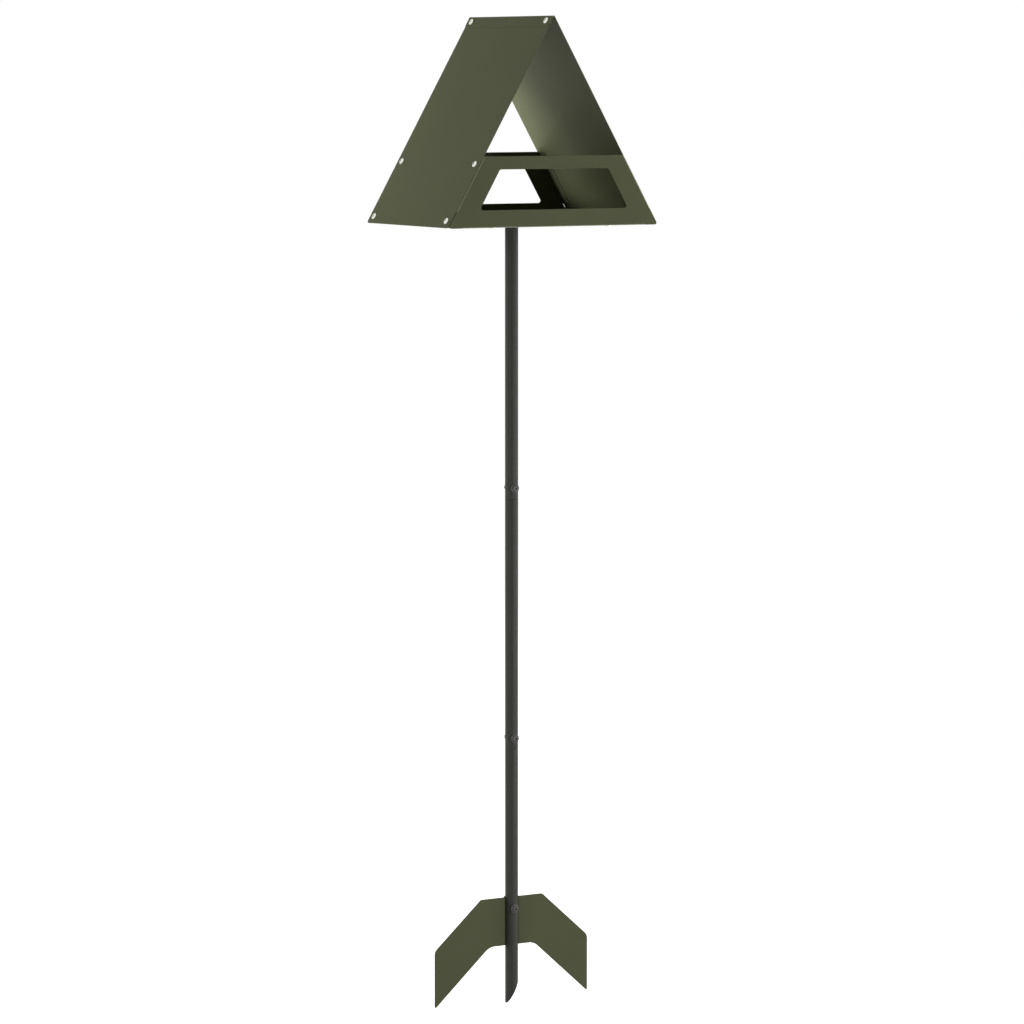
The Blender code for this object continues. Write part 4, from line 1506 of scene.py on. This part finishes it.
@dataclass(frozen=True)
class PanHead:
    """Sizes of a pan head with a cross recess. Shares are of its radius or its height."""

    radius: float = 5.2 * MM
    height: float = 3.0 * MM
    crown_share: float = 0.66
    crown_rise_share: float = 0.93
    crown_rounding: float = 3.0 * MM
    side_rise_share: float = 0.5
    side_rounding: float = 1.2 * MM
    foot_rounding: float = 0.2 * MM
    recess_width: float = 1.15 * MM
    recess_span: float = 5.2 * MM
    recess_depth: float = 1.7 * MM

    def profile(self) -> list[Corner]:
        """Corners of (radius, height, rounding), from the top down to the seat at Z 0.

        Returns:
            The profile, which starts and ends on the axis.
        """
        crown = (self.crown_share * self.radius, self.crown_rise_share * self.height, self.crown_rounding)
        return [
            (0.0, self.height, 0.0),
            crown,
            (self.radius, self.side_rise_share * self.height, self.side_rounding),
            (self.radius, 0.0, self.foot_rounding),
            (0.0, 0.0, 0.0),
        ]


@dataclass(frozen=True)
class ButtonHead:
    """Sizes of a flanged button head with a hexagon socket. Shares are of its radius or its height."""

    radius: float = 7.4 * MM
    height: float = 3.6 * MM
    top_share: float = 0.62
    top_rise_share: float = 0.97
    top_rounding: float = 2.0 * MM
    crown_radius: float = 5.7 * MM
    crown_rounding: float = 0.4 * MM
    flange: float = 1.3 * MM
    flange_edge_share: float = 0.8
    rim_rounding: float = 0.3 * MM
    foot_rounding: float = 0.15 * MM
    socket_flats: float = 4.0 * MM
    socket_depth: float = 2.1 * MM

    def profile(self) -> list[Corner]:
        """Corners of (radius, height, rounding), from the top down to the seat at Z 0.

        Returns:
            The profile, which starts and ends on the axis.
        """
        return [
            (0.0, self.height, 0.0),
            (self.top_share * self.radius, self.top_rise_share * self.height, self.top_rounding),
            (self.crown_radius, self.flange, self.crown_rounding),
            (self.radius, self.flange_edge_share * self.flange, self.rim_rounding),
            (self.radius, 0.0, self.foot_rounding),
            (0.0, 0.0, 0.0),
        ]


@dataclass(frozen=True)
class HexNut:
    """Sizes of a hexagon nut, with a collar on a lock nut."""

    flats: float
    bore: float
    crown_share: float = 0.475
    chamfer_share: float = 0.6
    collar: float = 0.0
    collar_radius: float = 4.2 * MM
    collar_rounding: float = 0.5 * MM

    @property
    def corner(self) -> float:
        """Radius of the hexagon's corners."""
        return self.flats / math.sqrt(3.0)

    def profile(self, top: float) -> list[Corner]:
        """Corners of (radius, height, rounding) of the round blank that the hexagon is cut from.

        Args:
            top: Height of its upper face.

        Returns:
            The profile, which starts and ends on the axis.
        """
        drop = (self.corner - self.flats / 2) * self.chamfer_share
        crown = self.crown_share * self.flats
        upper = [(0.0, top, 0.0), (crown, top, 0.0), (self.corner, top - drop, 0.0)]
        return [*upper, (self.corner, drop, 0.0), (crown, 0.0, 0.0), (0.0, 0.0, 0.0)]


@dataclass
class Fasteners:
    """Screws, bolts and nuts, each shape made once and placed by Geometry Nodes."""

    palette: Palette
    turned: TurnedRecipe
    placing: FastenerRecipe
    rod: ThreadRecipe
    screw_head: PanHead = PanHead()
    screw_thread: Thread = Thread(2.5 * MM, 0.8 * MM)
    screw_nut: HexNut = HexNut(8.0 * MM, 2.5 * MM)
    bolt_head: ButtonHead = ButtonHead()
    bolt_thread: Thread = Thread(3.0 * MM, 1.0 * MM)
    lock_nut: HexNut = HexNut(10.0 * MM, 3.0 * MM, collar=1.4 * MM)
    steps: int = 32
    rounding_steps: int = 5
    thread_smoothing: float = 40.0

    def _turned(self, name: str, corners: Sequence[Corner]) -> bpy.types.Object:
        """Turn a profile whose first and last corners lie on the axis."""
        return self.turned.revolve(name, Outline.rounded(corners, self.rounding_steps), self.steps)

    def _add_shank(self, head: bpy.types.Object, thread: Thread, length: float) -> None:
        """Join a threaded shank to a head.

        Args:
            head: The head, with its seat at Z 0.
            thread: Sizes of the thread.
            length: Length of the shank.
        """
        shank = Workshop.link(f"{head.name}_rod", bpy.data.meshes.new("rod"))
        self.rod.carried_out(
            shank,
            Radius=thread.radius,
            Length=length + thread.root,
            Pitch=thread.pitch,
            Depth=thread.depth_share * thread.pitch,
            Rows=int(thread.rows_per_turn * length / thread.pitch),
        )
        Workshop.face_outward(shank.data)
        Workshop.cut(head, [(shank.data, Matrix.Translation((0.0, 0.0, thread.root)))], "UNION")
        Workshop.discard(shank)
        Workshop.smooth(head.data, self.thread_smoothing)

    def pan_screw(self, length: float) -> bpy.types.Object:
        """Make a pan head screw with a cross recess.

        Args:
            length: Length of its shank.

        Returns:
            The screw, its seat at Z 0.
        """
        size = self.screw_head
        head = self._turned("pan_screw", size.profile())
        centre = (0.0, 0.0, size.height)
        slot = (size.recess_span, size.recess_width, 2 * size.recess_depth)
        cross = (size.recess_width, size.recess_span, 2 * size.recess_depth)
        Workshop.cut(head, [(Workshop.block(bar, centre), Matrix()) for bar in (slot, cross)])
        self._add_shank(head, self.screw_thread, length)
        return head

    def button_bolt(self, length: float) -> bpy.types.Object:
        """Make a flanged button head bolt with a hexagon socket.

        Args:
            length: Length of its shank.

        Returns:
            The bolt, its seat at Z 0.
        """
        size = self.bolt_head
        head = self._turned("button_bolt", size.profile())
        corner = size.socket_flats / math.sqrt(3.0)
        socket = Workshop.prism(corner, size.height - size.socket_depth, 2 * size.height, HEXAGON)
        Workshop.cut(head, [(socket, Matrix())])
        self._add_shank(head, self.bolt_thread, length)
        return head

    def nut(self, name: str, size: HexNut, height: float) -> bpy.types.Object:
        """Make a nut with chamfered corners, and a collar on a lock nut.

        Args:
            name: Name of the object.
            size: Its sizes.
            height: Its height, with the collar.

        Returns:
            The nut, on its seat at Z 0.
        """
        top = height - size.collar
        body = self._turned(name, size.profile(top))
        hexagon = Workshop.prism(size.corner, -height, 2 * height, HEXAGON)
        Workshop.cut(body, [(hexagon, Matrix())], "INTERSECT")
        if size.collar:
            waist = size.collar_radius
            rim = (waist, height, size.collar_rounding)
            corners = [(0.0, height, 0.0), rim, (waist, top / 2, 0.0), (0.0, top / 2, 0.0)]
            collar = self._turned("collar", corners)
            Workshop.cut(body, [(collar.data, Matrix())], "UNION")
            Workshop.discard(collar)
        drill = Workshop.prism(size.bore, -height, 2 * height)
        Workshop.cut(body, [(drill, Matrix())])
        Workshop.smooth(body.data)
        return body

    @staticmethod
    def stations(
        nodes: Sequence[str], aims: Sequence[Vector], head: Optional[float], gaps: Sequence[int]
    ) -> bpy.types.Object:
        """Points where fasteners sit, each with its aim.

        Args:
            nodes: The CAD nodes that are stood for.
            aims: Direction of each node's own +Z.
            head: Height of the head above the seat, or None where the seat is the lowest face.
            gaps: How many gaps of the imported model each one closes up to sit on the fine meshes.

        Returns:
            An object of loose points with the attribute "aim".
        """
        places = []
        for node, aim, closed in zip(nodes, aims, gaps):
            side = aim.orthogonal().normalized()
            other = aim.cross(side)
            low, high = node_span(node, aim)
            seat = low if head is None else high - head
            place = aim * (seat - closed * (PACKED_GAP - FIT_GAP))
            for direction in (side, other):
                place += direction * sum(node_span(node, direction)) / 2
            places.append(place)
        mesh = bpy.data.meshes.new("stations")
        mesh.from_pydata(places, [], [])
        attribute = mesh.attributes.new("aim", "FLOAT_VECTOR", "POINT")
        attribute.data.foreach_set("vector", [value for aim in aims for value in aim])
        return Workshop.link("stations", mesh)

    def row(
        self,
        name: str,
        shape: bpy.types.Object,
        nodes: Sequence[str],
        aims: Sequence[Vector],
        head: Optional[float],
        gaps: Sequence[int],
        slot: Slot,
        seed: int,
    ) -> None:
        """Place one shape at every node of a row, and deliver the row as one piece.

        Args:
            name: Name of the piece.
            shape: The fastener, which is used up.
            nodes: The CAD nodes that the row stands for.
            aims: Direction of each node's own +Z.
            head: Height of the head above the seat, or None where the seat is the lowest face.
            gaps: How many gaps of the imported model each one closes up.
            slot: The record's slot of the finish.
            seed: Seed of the fasteners' chance turns.
        """
        points = self.stations(nodes, aims, head, gaps)
        points.name = name
        self.placing.carried_out(points, Fastener=shape, Seed=seed, Finish=self.palette[slot])
        Workshop.discard(shape)
        Workshop.deliver(points, self.palette, slot, nodes)

    def build_sheet_fasteners(self, house: House) -> None:
        """Build the screws through the sheets and the cap plate, and their nuts.

        Args:
            house: The house, which gives the slopes of its roof.
        """
        slopes = {"left": house.inward(Side.LOW), "right": house.inward(Side.HIGH)}
        inward = {}
        for name in cad_nodes("screw_"):
            group, side = name.split("_")[1:3]
            inward[name] = Z_AXIS if group in ("floor", "cap") else slopes[side]
        sheet_screws = [name for name in inward if not name.startswith("screw_cap")]
        cap_screws = [name for name in inward if name.startswith("screw_cap")]
        height = self.screw_head.height
        for title, nodes, seed in (("sheet_screws", sheet_screws, 14), ("cap_screws", cap_screws, 4)):
            aims = [-inward[name] for name in nodes]
            low, high = node_span(nodes[0], aims[0])
            screw = self.pan_screw(high - low - height)
            gaps = [2 if "ridge" in name else 1 for name in nodes]
            self.row(title, screw, nodes, aims, height, gaps, Slot.ZINC, seed)
        nuts = [name.replace("screw_", "nut_") for name in inward]
        gaps = [1 if "ridge" in name else 2 for name in nuts]
        aims = list(inward.values())
        low, high = node_span(nuts[0], aims[0])
        nut = self.nut("hex_nut", self.screw_nut, high - low)
        self.row("sheet_nuts", nut, nuts, aims, None, gaps, Slot.ZINC, seed=3)

    def build_pole_bolts(self) -> None:
        """Build the bolts through the pole and their lock nuts."""
        front = -Y_AXIS
        height = self.bolt_head.height
        joints = ["bolt_upper_joint", "bolt_lower_joint"]
        rows = [("joint_bolts", joints, 2), ("ground_plate_bolt", ["bolt_ground_plate"], 1)]
        for title, nodes, seed in rows:
            low, high = node_span(nodes[0], front)
            bolt = self.button_bolt(high - low - height)
            count = len(nodes)
            self.row(title, bolt, nodes, [front] * count, height, [1] * count, Slot.BLACK, seed)
        nuts = cad_nodes("lock_nut_")
        low, high = node_span(nuts[0], Y_AXIS)
        nut = self.nut("lock_nut", self.lock_nut, high - low)
        count = len(nuts)
        self.row("lock_nuts", nut, nuts, [Y_AXIS] * count, None, [1] * count, Slot.BLACK, seed=5)

    def build(self, house: House) -> None:
        """Build every row of screws, bolts and nuts."""
        self.build_sheet_fasteners(house)
        self.build_pole_bolts()


@dataclass(frozen=True)
class Softbox:
    """A soft light that the camera never sees. The ones behind the object leave no highlight on it."""

    name: str
    place: tuple[float, float, float]
    aim_height: float
    size: tuple[float, float]
    watts: float
    is_mirrored: bool = False

    def build(self) -> None:
        """Hang the light and turn it to the object."""
        data = bpy.data.lights.new(self.name, "AREA")
        data.shape = "RECTANGLE"
        data.size, data.size_y = self.size
        data.energy = self.watts
        light = Workshop.link(self.name, data)
        light.location = self.place
        aim = Z_AXIS * self.aim_height - Vector(self.place)
        light.rotation_euler = aim.to_track_quat("-Z", "Y").to_euler()
        light.visible_camera = False
        light.visible_glossy = self.is_mirrored


@dataclass
class Studio:
    """White floor and surroundings, soft lights and the camera."""

    camera_place: tuple[float, float, float] = (-3.3012, -5.8625, 1.5211)
    camera_pitch: float = math.radians(6.071)
    camera_yaw: float = math.radians(29.390)
    lens: float = 147.33
    camera_reach: float = 200.0
    floor_size: float = 60.0
    floor_colour: tuple[float, float, float, float] = (0.82, 0.82, 0.82, 1.0)
    floor_lift: float = 0.87
    ambient: float = 0.16
    softboxes: tuple[Softbox, ...] = (
        Softbox("left_rear", (-2.1, 0.95, 1.3), 1.45, (1.0, 1.0), 36.0),
        Softbox("rear_near", (-0.08, 0.42, 1.37), 1.42, (0.22, 0.22), 2.8),
        Softbox("left_low", (-2.2, 1.2, 0.25), 1.4, (1.2, 1.2), 18.0),
        Softbox("left_front", (-3.2, -2.4, 3.6), 1.3, (2.0, 2.0), 10.0, is_mirrored=True),
        Softbox("right_low", (1.5, -3.5, 0.5), 1.0, (1.5, 1.5), 86.0, is_mirrored=True),
        Softbox("right_strip", (3.2, -1.0, 1.2), 1.0, (0.6, 2.2), 44.0, is_mirrored=True),
        Softbox("right_rear", (3.8, 2.2, 1.8), 1.2, (2.0, 2.0), 72.0),
    )

    def camera(self) -> None:
        """Set up the camera at the photograph's viewing angle."""
        data = bpy.data.cameras.new("camera")
        data.lens = self.lens
        data.clip_end = self.camera_reach
        camera = Workshop.link("camera", data)
        camera.location = self.camera_place
        camera.rotation_euler = (math.pi / 2 - self.camera_pitch, 0.0, -self.camera_yaw)
        bpy.context.scene.camera = camera

    @staticmethod
    def seen(graph: Graph) -> Wire:
        """Tell the rays that look from the rays that light a surface.

        Args:
            graph: The graph of the floor or of the surroundings.

        Returns:
            1 for rays from the camera and for reflections, 0 for the others.
        """
        path = graph.node("ShaderNodeLightPath")
        rays = [Wire(graph, path.outputs[f"Is {kind} Ray"]) for kind in ("Camera", "Glossy", "Transmission")]
        return (rays[0] + rays[1] + rays[2]).clipped()

    def floor(self) -> None:
        """Pale floor that the camera sees as white, with the object's shadow on it."""
        mesh = bpy.data.meshes.new("floor")
        half = self.floor_size / 2
        corners = [(-half, -half, 0.0), (half, -half, 0.0), (half, half, 0.0), (-half, half, 0.0)]
        mesh.from_pydata(corners, [], [(0, 1, 2, 3)])
        material = bpy.data.materials.new("studio_floor")
        graph = Graph.emptied(material)
        pale = graph.wire("ShaderNodeBsdfDiffuse", values={"Color": self.floor_colour})
        glow = graph.wire("ShaderNodeEmission", values={"Strength": self.seen(graph) * self.floor_lift})
        both = graph.wire("ShaderNodeAddShader", values={0: pale, 1: glow})
        graph.node("ShaderNodeOutputMaterial", values={"Surface": both})
        mesh.materials.append(material)
        Workshop.link("floor", mesh)

    def surroundings(self) -> None:
        """White to the camera and in reflections, and a faint even light on every surface."""
        world = bpy.data.worlds.new("studio")
        bpy.context.scene.world = world
        graph = Graph.emptied(world)
        seen = self.seen(graph)
        values = {"Color": (1.0, 1.0, 1.0, 1.0), "Strength": (1.0 - seen) * self.ambient + seen}
        light = graph.wire("ShaderNodeBackground", values=values)
        graph.node("ShaderNodeOutputWorld", values={"Surface": light})

    def build(self) -> None:
        """Set up the studio."""
        bpy.context.scene.view_settings.view_transform = "Standard"
        self.camera()
        self.floor()
        self.surroundings()
        for softbox in self.softboxes:
            softbox.build()


def main() -> None:
    """Build every sub-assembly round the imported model."""
    logging.basicConfig(level=logging.INFO, format="%(name)s: %(message)s")
    for obj in list(bpy.data.objects):
        Workshop.discard(obj)
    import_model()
    palette = Palette()
    turned = TurnedRecipe()
    house = House(palette)
    house.build()
    Pole(palette, turned, BeadRecipe()).build()
    GroundPlate(palette).build()
    Fasteners(palette, turned, FastenerRecipe(), ThreadRecipe()).build(house)
    Studio().build()


if __name__ == "__main__":
    main()
